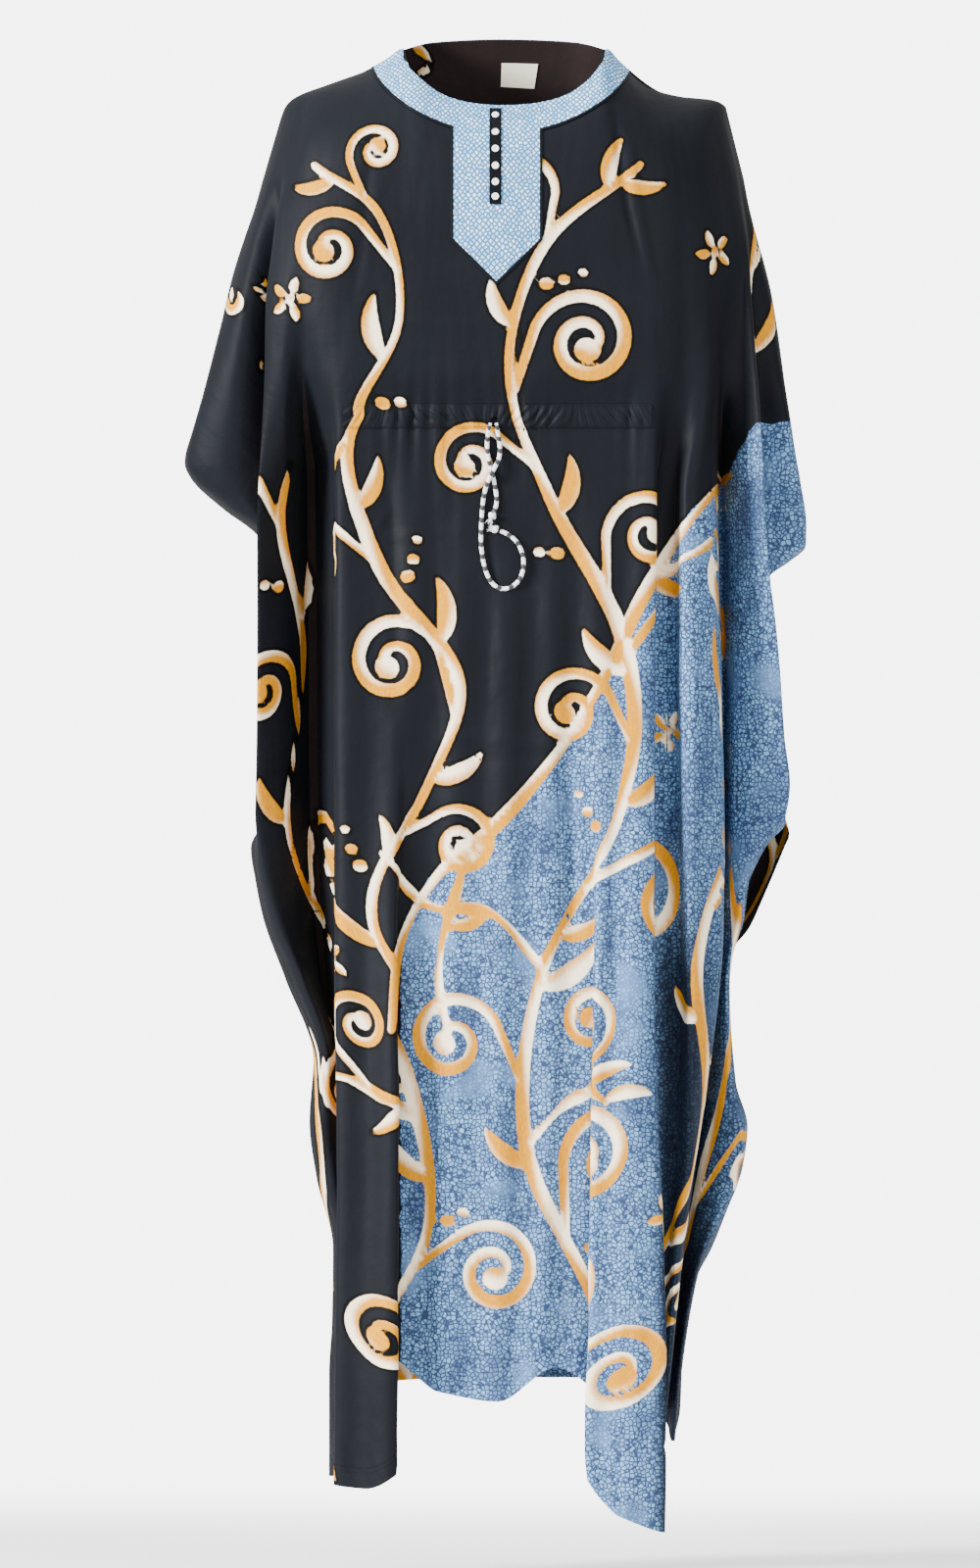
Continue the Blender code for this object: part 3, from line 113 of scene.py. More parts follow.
# One row for each fold line of a panel, from left to right:
# name, (where it starts on the top edge, value there), hem drop, columns to the next line, knots.
# A start on the shoulder is an x, and a start on the neck is an angle, 180 left and 0 right.
# The knots are (drop, x, y).
FRONT_FOLDS = (
    ("left_edge", ("shoulder", -222), 1447, 1, LEFT_SLEEVE_TOP + (
        (428, -313, -5), (459, -280, -12), (485, -246, -16), (512, -230, -6), (545, -224, 0),
        (640, -222, 2), (740, -225, 0), (780, -240, -10), (805, -252, -22), (840, -247, -24),
        (878, -239, -24), (938, -217, -26), (1022, -188, -26), (1085, -192, -24), (1141, -185, -22),
        (1215, -168, -22), (1289, -169, -22), (1342, -172, -22), (1447, -172, -24))),
    ("left_sleeve", ("shoulder", -217), 1447, 1, (
        (120, -236, -20), (188, -258, -26), (258, -277, -32), (340, -297, -36), (412, -313, -34),
        (428, -306, -34), (459, -270, -36), (485, -240, -34), (512, -229, -22), (640, -226, -14),
        (740, -229, -16), (780, -241, -24), (805, -250, -32), (878, -236, -34), (938, -213, -36),
        (1022, -185, -35), (1085, -189, -33), (1141, -182, -31), (1215, -166, -30),
        (1447, -169, -32))),
    ("left_sleeve_turn", ("shoulder", -211), 1444, 1, (
        (120, -230, -38), (188, -246, -52), (258, -258, -58), (340, -268, -56), (412, -274, -52),
        (459, -250, -46), (485, -236, -44), (512, -230, -34), (640, -229, -28), (740, -232, -28),
        (780, -242, -36), (805, -248, -42), (878, -233, -44), (938, -209, -44), (1022, -182, -43),
        (1085, -185, -42), (1141, -178, -39), (1215, -163, -38), (1447, -166, -40))),
    ("left_sleeve_valley", ("shoulder", -203), 1440, 1, (
        (120, -222, -54), (160, -222, -54), (188, -220, -50), (258, -214, -38), (340, -212, -28),
        (412, -214, -28), (459, -222, -36), (485, -232, -50), (512, -236, -50), (640, -236, -46),
        (740, -238, -44), (780, -243, -48), (805, -246, -52), (878, -229, -52), (938, -205, -50),
        (1022, -178, -49), (1085, -180, -48), (1141, -174, -45), (1215, -159, -44),
        (1447, -162, -46))),
    ("left_ridge", ("shoulder", -191), 1436, 2, (
        (120, -214, -68), (160, -225, -76), (191, -229, -80), (255, -236, -84), (319, -237, -84),
        (383, -240, -80), (446, -244, -76), (485, -245, -72), (580, -245, -66), (715, -246, -62),
        (770, -247, -60), (805, -243, -60), (878, -224, -56), (938, -199, -53), (1022, -173, -50),
        (1085, -173, -49), (1141, -167, -47), (1215, -156, -45), (1447, -158, -47))),
    ("left_wing", ("shoulder", -176), 1426, 1, (
        (120, -197, -90), (191, -213, -102), (255, -217, -105), (319, -217, -100), (383, -216, -80),
        (446, -215, -54), (485, -215, -46), (580, -215, -42), (715, -215, -40), (805, -213, -40),
        (878, -203, -36), (938, -190, -36), (1022, -167, -36), (1141, -157, -34), (1215, -151, -30),
        (1447, -153, -32))),
    ("left_seam", ("shoulder", -160), LEFT_SEAM_HEM, 1, (
        (120, -180, -100), (191, -196, -112), (255, -198, -109), (319, -198, -90),
        (370, -196, -44)) + seam_knots(LEFT_SEAM, -1)),
    ("left_pleat_inside", ("shoulder", -146), 1430, 1, (
        (120, -160, -107), (191, -176, -119), (255, -179, -118), (319, -178, -110),
        (370, -172, -92), (420, -164, -76), (600, -160, -72), (805, -160, -74), (940, -157, -76),
        (1022, -149, -75), (1141, -140, -73), (1289, -134, -72), (1447, -134, -72))),
    ("left_pleat_edge", ("shoulder", -130), 1452, 2, (
        (120, -140, -112), (191, -156, -122), (255, -160, -122), (319, -162, -119),
        (370, -163, -113), (420, -163, -112), (600, -163, -114), (805, -163, -118),
        (940, -163, -124), (1141, -162, -128), (1289, -164, -126), (1447, -166, -118))),
    ("left_strip", ("shoulder", -112), 1456, 3, (
        (120, -118, -114), (191, -132, -123), (319, -136, -121), (370, -136, -114),
        (420, -136, -113), (600, -136, -119), (805, -136, -127), (940, -134, -135),
        (1141, -132, -141), (1289, -133, -141), (1456, -134, -133))),
    ("left_strip_edge", ("neck", 180), 1441, 2, (
        (120, -100, -115), (191, -108, -123), (319, -110, -122), (370, -110, -114),
        (420, -110, -113), (600, -107, -121), (805, -106, -131), (880, -106, -137),
        (940, -106, -143), (1090, -104, -151), (1289, -104, -151), (1441, -105, -145))),
    ("left_strip_inside", ("neck", 150), 1312, 2, (
        (120, -80, -117), (191, -86, -124), (319, -88, -123), (370, -88, -114), (420, -88, -113),
        (600, -90, -121), (805, -96, -122), (880, -106, -118), (940, -114, -112),
        (1090, -118, -106), (1289, -119, -102))),
    ("centre_left", ("neck", 120), 1357, 2, (
        (120, -46, -119), (191, -47, -125), (319, -48, -124), (370, -48, -114), (420, -48, -113),
        (600, -56, -123), (940, -64, -123), (1141, -66, -119), (1357, -64, -113))),
    ("centre", ("neck", 92), 1368, 2, (
        (120, 3, -120), (191, 2, -127), (319, 0, -125), (370, 0, -114), (420, 0, -113),
        (485, 0, -117), (650, 0, -127), (850, 0, -129), (1100, 0, -123), (1367, 0, -115))),
    ("centre_right", ("neck", 62), 1333, 2, (
        (120, 50, -119), (191, 51, -125), (319, 52, -124), (370, 52, -114), (420, 52, -113),
        (600, 56, -122), (850, 58, -125), (1100, 58, -119), (1333, 58, -111))),
    ("right_soft_valley", ("neck", 39), 1372, 1, (
        (120, 86, -117), (191, 91, -123), (319, 94, -122), (370, 92, -113), (600, 92, -120),
        (850, 98, -119), (1100, 103, -112), (1289, 105, -106), (1372, 106, -102))),
    ("tail_left_edge", ("neck", 20), 1446, 3, (
        (120, 110, -114), (191, 114, -121), (319, 116, -120), (370, 113, -112), (600, 110, -122),
        (850, 104, -131), (1100, 99, -138), (1289, 94, -144), (1414, 90, -144), (1446, 92, -142))),
    ("tail", ("neck", 0), 1482, 3, (
        (120, 128, -110), (191, 134, -118), (319, 138, -117), (370, 136, -111), (600, 135, -121),
        (850, 134, -131), (1100, 132, -142), (1289, 128, -148), (1482, 120, -146))),
    ("tail_right_edge", ("shoulder", 130), 1500, 1, (
        (120, 150, -106), (191, 156, -115), (319, 160, -114), (370, 160, -111), (485, 160, -114),
        (600, 160, -117), (805, 160, -123), (940, 160, -129), (1141, 166, -137),
        (1289, 170, -141), (1500, 168, -137))),
    ("tail_inside", ("shoulder", 150), 1440, 1, (
        (120, 168, -100), (191, 174, -110), (319, 176, -108), (370, 172, -100), (420, 163, -92),
        (485, 157, -85), (600, 155, -81), (805, 155, -81), (940, 156, -85), (1141, 156, -88),
        (1289, 153, -90), (1440, 148, -92))),
    ("right_shade", ("shoulder", 166), 1420, 1, (
        (120, 182, -93), (191, 189, -103), (319, 191, -101), (370, 187, -95), (420, 182, -88),
        (485, 180, -84), (600, 182, -84), (805, 185, -84), (940, 187, -83), (1141, 180, -84),
        (1289, 168, -86), (1420, 158, -86))),
    ("right_pleat_ridge", ("shoulder", 181), 1405, 2, (
        (120, 196, -85), (191, 204, -96), (319, 206, -98), (370, 203, -99), (445, 190, -108),
        (600, 191, -109), (804, 195, -109), (940, 197, -107), (1100, 196, -100),
        (1215, 182, -97), (1405, 168, -99))),
    ("right_pleat_edge", ("shoulder", 194), 1388, 1, (
        (120, 208, -77), (191, 217, -88), (319, 218, -92), (390, 214, -95), (470, 216, -96),
        (580, 221, -94), (800, 226, -92), (900, 227, -90), (1050, 213, -82), (1200, 190, -76),
        (1388, 168, -75))),
    ("right_seam", ("shoulder", 206), RIGHT_SEAM_HEM, 1, (
        (120, 218, -68), (191, 227, -80), (319, 228, -72), (370, 228, -42))
        + seam_knots(RIGHT_SEAM, -1)),
    ("right_wing_inner", ("shoulder", 215), 1395, 1, (
        (120, 227, -58), (191, 237, -69), (319, 239, -67), (370, 239, -56), (412, 238, -40),
        (450, 239, -36), (600, 241, -36), (805, 240, -34), (880, 234, -26), (940, 224, -20),
        (1045, 219, -20), (1141, 208, -20), (1250, 190, -18), (1395, 174, -17))),
    ("right_wing", ("shoulder", 222), 1405, 2, (
        (120, 237, -46), (191, 247, -60), (319, 252, -66), (412, 254, -66), (450, 255, -64),
        (600, 262, -58), (741, 266, -52), (805, 256, -44), (840, 248, -40), (880, 241, -36),
        (940, 230, -32), (1045, 228, -34), (1100, 230, -35), (1175, 216, -32), (1250, 194.5, -29),
        (1405, 176, -27))),
    ("right_ridge", ("shoulder", 226), 1411, 1, (
        (120, 243, -35), (191, 254, -52), (241, 257, -64), (319, 263, -72), (372, 267, -77),
        (440, 271, -77), (485, 273, -75), (533, 277, -71), (569, 282, -68), (629, 288, -64),
        (693, 292, -60), (741, 297, -54), (770, 293, -48), (799, 272, -42), (840, 251, -40),
        (880, 246, -40), (917, 236, -39), (947, 233.5, -38), (1045, 236, -39), (1090, 248, -39),
        (1131, 243, -39), (1175, 226, -38), (1243, 201, -36), (1323, 187, -34), (1411, 178, -32))),
    ("right_sleeve_valley", ("shoulder", 229), 1411, 1, (
        (120, 246, -25), (191, 256, -34), (241, 258, -38), (319, 261, -36), (372, 263, -33),
        (440, 267, -33), (485, 269, -36), (533, 272, -48), (569, 275, -48), (693, 285, -44),
        (741, 294, -40), (770, 293, -36), (799, 275, -34), (840, 254, -32), (880, 249, -32),
        (917, 238.5, -31), (947, 236, -31), (1045, 240, -31), (1090, 252.5, -31), (1131, 247.5, -31),
        (1175, 231, -31), (1243, 203.5, -29), (1323, 189, -27), (1411, 180, -25))),
    ("right_sleeve", ("shoulder", 231), 1411, 1, (
        (120, 249, -14), (191, 265, -22), (241, 276, -27), (319, 287, -31), (372, 296, -34),
        (440, 306, -34), (475, 311, -32), (497, 309, -32), (513, 292, -32), (533, 274, -34),
        (569, 271, -30), (693, 279, -28), (741, 292, -26), (770, 294, -24), (799, 276.5, -24),
        (840, 256, -22), (880, 250.5, -22), (917, 238.5, -22), (947, 236, -22), (1045, 242.5, -22),
        (1090, 254.5, -22), (1131, 249.5, -22), (1175, 233.5, -22), (1243, 204, -20),
        (1323, 189.5, -19), (1411, 180, -17))),
    ("right_edge", ("shoulder", 233), 1411, 1, RIGHT_SLEEVE_TOP + (
        (513, 297, -4), (530, 274, -10), (569, 266, -8), (640, 268, -8), (715, 280, -10),
        (750, 292, -12), (779, 294, -14), (799, 277, -14), (826, 262, -13), (841, 256, -12),
        (880, 250, -12), (917, 237, -12), (947, 234, -12), (998, 237, -12), (1045, 242, -12),
        (1090, 255, -12), (1131, 250, -12), (1175, 234, -12), (1213, 219, -11), (1243, 203.5, -11),
        (1276, 193, -10), (1323, 188.5, -10), (1380, 186, -9), (1411, 179, -8))),
)

BACK_FOLDS = (
    ("left_edge", ("shoulder", -222), 1400, 1, LEFT_SLEEVE_TOP + (
        (428, -311, 5), (459, -277, 14), (485, -243, 20), (512, -228, 26), (545, -220, 28),
        (640, -216, 30), (740, -220, 28), (785, -238, 26), (805, -247, 24), (878, -234, 24),
        (938, -212, 22), (1022, -180, 20), (1141, -176, 20), (1215, -160, 20), (1400, -162, 22))),
    ("left_sleeve", ("shoulder", -216), 1398, 1, (
        (120, -236, 20), (188, -258, 26), (258, -277, 30), (340, -297, 32), (412, -312, 30),
        (428, -303, 32), (459, -267, 36), (485, -236, 38), (545, -213, 44), (640, -211, 46),
        (740, -216, 46), (805, -238, 42), (878, -226, 42), (938, -204, 40), (1022, -176, 36),
        (1141, -170, 36), (1398, -156, 36))),
    ("left_wing", ("shoulder", -203), 1396, 2, (
        (120, -225, 48), (191, -237, 58), (255, -238, 62), (340, -238, 60), (412, -232, 52),
        (485, -214, 44), (600, -202, 48), (740, -204, 46), (805, -210, 44), (938, -190, 40),
        (1022, -168, 32), (1141, -157, 26), (1396, -149, 26))),
    ("left_seam", ("shoulder", -176), LEFT_SEAM_HEM, 2, (
        (120, -196, 73), (191, -207, 80), (255, -206, 76), (319, -202, 62),
        (370, -197, 34)) + seam_knots(LEFT_SEAM, 1)),
    ("left_pleat", ("shoulder", -140), 1362, 2, (
        (120, -158, 84), (191, -166, 91), (319, -168, 86), (412, -166, 74), (485, -162, 74),
        (805, -158, 82), (1141, -148, 90), (1362, -142, 92))),
    ("left_back_fold", ("neck", 180), 1354, 2, (
        (120, -104, 88), (191, -108, 95), (319, -110, 90), (412, -108, 82), (600, -104, 88),
        (805, -102, 94), (1141, -102, 101), (1354, -102, 103))),
    ("left_back_valley", ("neck", 135), 1351, 2, (
        (120, -58, 90), (191, -60, 98), (319, -62, 92), (412, -62, 82), (600, -64, 84),
        (805, -66, 84), (1141, -66, 82), (1351, -64, 84))),
    ("back_centre", ("neck", 92), 1350, 2, (
        (120, 2, 91), (191, 2, 99), (319, 0, 94), (412, 0, 85), (600, 0, 94), (805, 0, 101),
        (1141, 2, 108), (1350, 4, 110))),
    ("right_back_valley", ("neck", 48), 1350, 3, (
        (120, 64, 90), (191, 64, 98), (319, 66, 92), (412, 66, 82), (600, 64, 84),
        (805, 62, 83), (1141, 60, 82), (1350, 58, 85))),
    ("right_back_fold", ("neck", 0), 1352, 3, (
        (120, 118, 87), (191, 120, 94), (319, 122, 89), (412, 120, 81), (600, 114, 89),
        (805, 112, 96), (1141, 108, 104), (1352, 110, 106))),
    ("right_pleat", ("shoulder", 166), 1362, 2, (
        (120, 176, 80), (191, 184, 87), (319, 188, 82), (412, 194, 70), (600, 194, 72),
        (805, 192, 80), (1141, 174, 85), (1362, 158, 88))),
    ("right_seam", ("shoulder", 206), RIGHT_SEAM_HEM, 2, (
        (120, 218, 60), (191, 229, 68), (255, 231, 64), (319, 231, 52),
        (370, 229, 28)) + seam_knots(RIGHT_SEAM, 1)),
    ("right_wing", ("shoulder", 221), 1390, 2, (
        (120, 237, 42), (191, 250, 52), (319, 260, 54), (412, 262, 50), (485, 258, 42),
        (600, 254, 42), (741, 262, 38), (805, 260, 34), (880, 244, 30), (940, 230, 28),
        (1100, 222, 28), (1250, 194, 28), (1400, 173, 28))),
    ("right_sleeve", ("shoulder", 229), 1396, 1, (
        (120, 249, 20), (191, 265, 25), (241, 276, 28), (319, 287, 31), (396, 298, 32),
        (475, 310, 30), (497, 305, 30), (513, 286, 30), (533, 267, 30), (640, 266, 28),
        (741, 284, 24), (792, 292, 18), (861, 264, 14), (917, 233, 14), (1045, 236, 15),
        (1100, 246, 16), (1175, 227, 17), (1243, 199, 18), (1400, 176, 18))),
    ("right_edge", ("shoulder", 233), 1400, 1, RIGHT_SLEEVE_TOP + (
        (513, 292, 6), (530, 268, 10), (569, 260, 12), (640, 262, 12), (715, 274, 8),
        (770, 292, 2), (792, 298, 0), (802, 294, -1), (861, 269, -1), (887, 257, -1),
        (917, 234, 0), (947, 229, 0), (1045, 237, 0), (1090, 249, 0), (1131, 244, 0),
        (1213, 214, 0), (1276, 189, 0), (1400, 177, 2))),
)

# Neck band and yoke, seen from the front
BAND_X = 4.0
BAND_HALF_WIDTH = 130.0
BAND_SIDE_DROP = 8.0
BAND_FRONT_DROP = 78.0
BAND_SAG = 1.35
BAND_WIDTH = 31.0
BAND_STEPS = 12
BAND_COLUMNS = (44, 16, 16, 44)
BAND_BACK_FALL = 0.5
YOKE_LEFT = -45.0
YOKE_RIGHT = 42.5
YOKE_SHOULDER_DROP = 186.0
YOKE_POINT = (-1.5, 229.0)
YOKE_STEPS = 40

# Piping beside the outer edge of the band and yoke
PIPING_WIDTH = 2.4
PIPING_GAP = 0.5
MITRE_LIMIT = 1.6
PIPING_ROWS = 5
PIPING_CROWN = 0.45

# Placket and buttons
PLACKET_X = -2.5
PLACKET_WIDTH = 12.0
PLACKET_DROPS = (53.0, 151.0)
PLACKET_STEPS = (56, 8)
BUTTON_DROPS = (60.0, 77.5, 94.5, 111.5, 128.0, 143.0)
BUTTON_PROFILE = ((0, 0), (3.0, 0), (3.5, 0.25), (3.7, 0.8), (3.68, 1.5), (3.4, 2.05), (2.95, 2.25),
                  (2.5, 2.12), (2.15, 1.75), (1.7, 1.62), (0, 1.6))
BUTTON_FACE = 1.6
BUTTON_HOLES = 0.95
BUTTON_SIDES = 40
BUTTON_GAP = 0.15
HOLE_RADIUS = 0.42
SEWN_THREAD = 0.26

# Gathered casing and eyelet
CASING_X = (-157.0, 156.0)
CASING_DROPS = (354.0, 378.0)
CASING_ROWS = 21
CASING_COLUMNS = 261
CASING_PUCKER = 11.0
CASING_RISE = 2.3
EYELET = (-4.5, 371.0)
EYELET_RADIUS = 3.6
EYELET_THREAD = 0.8
EYELET_STITCHES = 26
EYELET_STITCH = (0.12, 0.26, 0.3, 0.3, 0.3, 0.26, 0.12)

# Drawstring: points of each strand's middle, x, y and z
CORD_DIAMETER = 4.4
KNOT_DIAMETER = 8.6
CORD_TWIST = 9.0
CORD_DASH = 12.5
CORD_STEP = 0.8
FRAY_YARNS = 26
FRAY_LENGTH = 6.5
SHORT_STRAND = (
    (-7.6, -122.3, -373.2), (-9.4, -120.1, -380.0), (-10.5, -118.1, -386.9), (-11.0, -116.8, -393.9),
    (-10.7, -116.5, -401.0), (-9.9, -116.4, -408.1), (-8.3, -116.4, -414.9), (-6.3, -116.4, -421.8),
    (-4.7, -116.5, -428.7), (-3.4, -116.9, -435.5), (-2.1, -117.2, -442.5), (-1.3, -117.9, -449.6),
    (-1.7, -119.3, -456.6), (-4.0, -120.8, -463.1),
)
LONG_STRAND = (
    (-1.6, -121.6, -373.2), (-0.5, -118.6, -380.0), (0.6, -117.2, -386.9), (1.7, -116.9, -393.8),
    (2.0, -117.2, -400.7), (1.4, -118.5, -407.5), (-0.8, -120.7, -413.5), (-3.8, -122.7, -419.5),
    (-6.9, -122.5, -425.7), (-9.7, -120.9, -431.4), (-12.0, -118.9, -437.7), (-13.7, -117.9, -444.4),
    (-14.9, -117.7, -451.3), (-15.7, -118.1, -458.2), (-16.3, -118.6, -465.1), (-16.7, -119.1, -472.1),
    (-17.0, -119.6, -479.0), (-17.2, -120.1, -486.0), (-17.2, -120.6, -493.0), (-16.8, -121.1, -500.0),
    (-16.0, -121.7, -506.9), (-14.8, -122.2, -513.8), (-13.2, -122.7, -520.5), (-10.9, -123.2, -527.1),
    (-7.7, -123.7, -533.3), (-3.0, -124.1, -538.4), (3.3, -124.2, -541.4), (10.2, -124.0, -541.1),
    (16.4, -123.6, -538.0), (21.3, -123.1, -533.1), (24.3, -122.5, -526.8), (25.9, -122.0, -520.1),
    (26.1, -121.4, -513.1), (24.9, -121.0, -506.3), (22.5, -120.7, -499.7), (19.0, -120.6, -493.8),
    (14.0, -121.0, -488.9), (8.1, -121.6, -485.1), (1.6, -122.3, -482.6),
)

# Blank label inside the back neck: x and drop of its corners
LABEL_CORNERS = ((4, -1), (41.5, 0), (37.5, 25), (3, 23))
LABEL_WALL = 1.0
LABEL_STEPS = (14, 20)

# How high the trims lie over the middle of the panel's wall
BAND_HEIGHT = CLOTH / 2 + LAY_GAP + TRIM_CLOTH / 2

# Dyes and paints, red, green and blue, and two dark blues of painted shade
BLACK_DEEP = (6, 8, 12)
BLACK_SOFT = (14, 17, 24)
HALO = (1, 1, 2)
PEBBLE_GAP = (44, 60, 90)
PLAIN_BLUE = (92, 124, 166)
# Painted shade: the dark blue of the streaked shadows of folds
FOLD_SHADOW_BLUE = (36, 46, 78)
# Painted shade: the dark blue that the lower right wing's shadow is painted in
PAINTED_SHADE = (12, 15, 24)
PEBBLE_DARK = (88, 120, 162)
PEBBLE_LIGHT = (122, 168, 210)
PAINT_WHITE = (255, 248, 228)
PAINT_SHADE = (240, 214, 170)
GOLD_LIGHT = (218, 156, 10)
GOLD_DEEP = (166, 94, 6)
REVERSE = (30, 22, 22)
BAND_BLUE = (50, 96, 142)
DOT_BLUE = (116, 184, 222)
DOT_WHITE = (214, 238, 248)


# Rows of the fine surfaces
ROW_STEP = 5.0
ROUND_ROWS = 26
HEM_ROWS = 48
FRONT_FINER = 5
BACK_FINER = 8

# Creases and soft folds: side, the two ends (x and drop), height, softness
CREASES = (
    (-1, (-112, 270), (-8, 275), 0.9, 5), (-1, (-136, 489), (-22, 484), 1.0, 4),
    (-1, (-70, 692), (84, 700), 1.2, 5), (-1, (-78, 716), (110, 708), -1.0, 5),
    (-1, (-70, 1228), (-6, 1236), 0.9, 5), (-1, (-12, 1312), (58, 1322), 1.0, 5),
    (-1, (126, 1420), (180, 1410), -1.8, 5), (-1, (40, 880), (120, 872), -1.0, 6),
    (-1, (-30, 1050), (60, 1046), 0.9, 5), (-1, (-106, 455), (-132, 492), 1.2, 4),
    (-1, (-96, 560), (-60, 610), -1.0, 5), (-1, (20, 520), (64, 560), 0.9, 5),
    (-1, (-112, 384), (-104, 700), -3.4, 9), (-1, (-84, 400), (-80, 640), 2.0, 10),
    (-1, (70, 690), (74, 905), -4.2, 7), (-1, (104, 640), (100, 1310), 2.6, 8),
    (-1, (34, 850), (38, 1350), -2.8, 10), (-1, (-38, 930), (-30, 1340), 2.8, 12),
    (-1, (-78, 1000), (-72, 1330), -2.4, 9), (-1, (118, 60), (146, 220), -2.0, 5),
    (-1, (132, 70), (158, 250), 1.6, 6), (-1, (-128, 90), (-150, 260), -1.6, 6),
    (-1, (60, 300), (96, 340), -1.2, 6), (-1, (130, 1060), (134, 1440), -2.2, 7),
    (1, (-120, 300), (100, 305), 0.9, 6), (1, (-90, 640), (130, 630), -1.0, 6),
    (1, (-130, 930), (40, 936), 1.0, 6), (1, (-40, 1210), (120, 1204), -1.0, 6),
    (1, (-96, 420), (-88, 900), -3.0, 10), (1, (84, 460), (90, 1080), 2.8, 11),
    (1, (24, 560), (18, 1240), -3.2, 11), (1, (-40, 700), (-46, 1280), 2.8, 12),
    (1, (128, 120), (150, 300), -1.8, 6), (1, (-134, 110), (-152, 290), 1.6, 6),
)

# Gathers at the casing: how high, how wide each, and how far they run above and below it
GATHER_HEIGHT = 2.3
GATHER_WIDTH = 17.0
GATHER_ABOVE = 30.0
GATHER_BELOW = 75.0
GATHER_REACH = 158.0
CASING_MIDDLE = 366.0

# Flutes that hang below the casing
FLUTE_HEIGHT = 2.6
FLUTE_WIDTH = 52.0

# How much of the relief the outer wings take, how softly it starts beside them, and how many
# columns it takes to fade at the edges
OUTER_RELIEF = 0.12
RELIEF_MARGIN = 0.04
EDGE_COLUMNS = 4

# The scroll print, in millimetres across and down the flat cloth: stems that grow up from the hem,
# with scrolls, leaves, rows of dots and small flowers
STEMS = (
    (((168, 1490), (120, 1290), (36, 1110), (54, 930), (138, 780), (142, 610), (58, 450), (16, 320),
      (52, 190), (150, 110)), 17),
    (((-168, 1470), (-140, 1330), (-66, 1190), (-86, 1050), (-146, 890), (-70, 750), (-34, 640),
      (-118, 520), (-150, 390), (-96, 270), (-120, 160), (-190, 110)), 16),
    (((330, 1450), (296, 1270), (336, 1090), (296, 930), (344, 760), (306, 600), (344, 400), (300, 230),
      (330, 130)), 15),
    (((-340, 1450), (-300, 1280), (-336, 1110), (-296, 960), (-340, 790), (-300, 640), (-344, 470),
      (-306, 280), (-330, 160)), 15),
    (((54, 930), (-4, 872), (-66, 866), (-120, 812)), 13),
    (((142, 610), (196, 540), (262, 508), (318, 470)), 13),
    (((36, 1110), (84, 1064), (124, 1052), (152, 1066)), 14),
    (((-86, 1050), (-164, 1066), (-236, 1040), (-316, 1080)), 13),
    (((-150, 390), (-172, 424), (-198, 440)), 12),
    (((460, 1380), (440, 1160), (470, 960), (436, 790)), 14),
    (((-460, 1330), (-436, 1120), (-470, 900), (-440, 700), (-466, 540)), 14),
)

# Scrolls: stem, share of the way up it, side, radius, turns, width
SCROLLS = (
    (0, 0.05, 1, 52, 1.6, 15), (0, 0.17, -1, 58, 1.7, 16), (0, 0.27, 1, 50, 1.5, 14),
    (0, 0.40, 1, 60, 1.7, 16), (0, 0.50, -1, 44, 1.5, 13), (0, 0.60, 1, 46, 1.5, 13),
    (0, 0.70, -1, 40, 1.5, 12), (0, 0.76, 1, 54, 1.7, 15), (0, 0.90, 1, 36, 1.4, 11),
    (1, 0.08, -1, 46, 1.5, 14), (1, 0.16, 1, 50, 1.6, 14), (1, 0.43, 1, 38, 1.5, 12),
    (1, 0.52, -1, 50, 1.6, 14), (1, 0.64, -1, 40, 1.5, 12), (1, 0.86, 1, 42, 1.5, 13),
    (1, 0.93, -1, 30, 1.4, 10), (2, 0.10, -1, 42, 1.5, 13), (2, 0.26, 1, 40, 1.5, 12),
    (2, 0.42, -1, 46, 1.6, 13), (2, 0.58, 1, 42, 1.5, 13), (2, 0.74, -1, 46, 1.6, 13),
    (2, 0.90, 1, 34, 1.4, 11), (3, 0.10, 1, 42, 1.5, 13), (3, 0.26, -1, 40, 1.5, 12),
    (3, 0.42, 1, 46, 1.6, 13), (3, 0.58, -1, 42, 1.5, 13), (3, 0.74, 1, 44, 1.6, 13),
    (3, 0.90, -1, 34, 1.4, 11), (6, 0.45, -1, 42, 1.5, 12), (7, 0.50, 1, 38, 1.5, 11),
    (9, 0.30, 1, 38, 1.5, 12), (9, 0.70, -1, 38, 1.5, 12), (10, 0.30, -1, 38, 1.5, 12),
    (10, 0.70, 1, 38, 1.5, 12),
)

# Leaves: stem, share of the way up it, side, length, width
LEAVES = (
    (0, 0.10, -1, 96, 28), (0, 0.13, 1, 70, 20), (0, 0.22, 1, 64, 19), (0, 0.33, -1, 82, 24),
    (0, 0.36, 1, 56, 17), (0, 0.46, 1, 74, 22), (0, 0.55, -1, 70, 21), (0, 0.66, 1, 64, 19),
    (0, 0.82, -1, 56, 17), (0, 0.97, -1, 58, 18), (0, 0.985, 1, 52, 15), (1, 0.04, 1, 90, 28),
    (1, 0.12, -1, 66, 20), (1, 0.22, -1, 74, 22), (1, 0.26, 1, 60, 18), (1, 0.36, -1, 70, 20),
    (1, 0.47, 1, 64, 19), (1, 0.58, 1, 72, 21), (1, 0.68, -1, 60, 18), (1, 0.79, -1, 70, 20),
    (1, 0.975, -1, 52, 15), (2, 0.18, 1, 62, 19), (2, 0.34, -1, 60, 18), (2, 0.50, 1, 62, 18),
    (2, 0.66, -1, 60, 18), (2, 0.82, 1, 60, 18), (3, 0.18, -1, 62, 19), (3, 0.34, 1, 60, 18),
    (3, 0.50, -1, 62, 18), (3, 0.66, 1, 60, 18), (3, 0.82, -1, 60, 18), (4, 0.35, 1, 48, 14),
    (4, 0.98, 1, 46, 14), (5, 0.40, 1, 54, 16), (6, 0.70, 1, 56, 17), (7, 0.30, -1, 54, 16),
    (5, 0.97, -1, 50, 15), (6, 0.97, -1, 52, 16), (7, 0.97, 1, 50, 15),
)

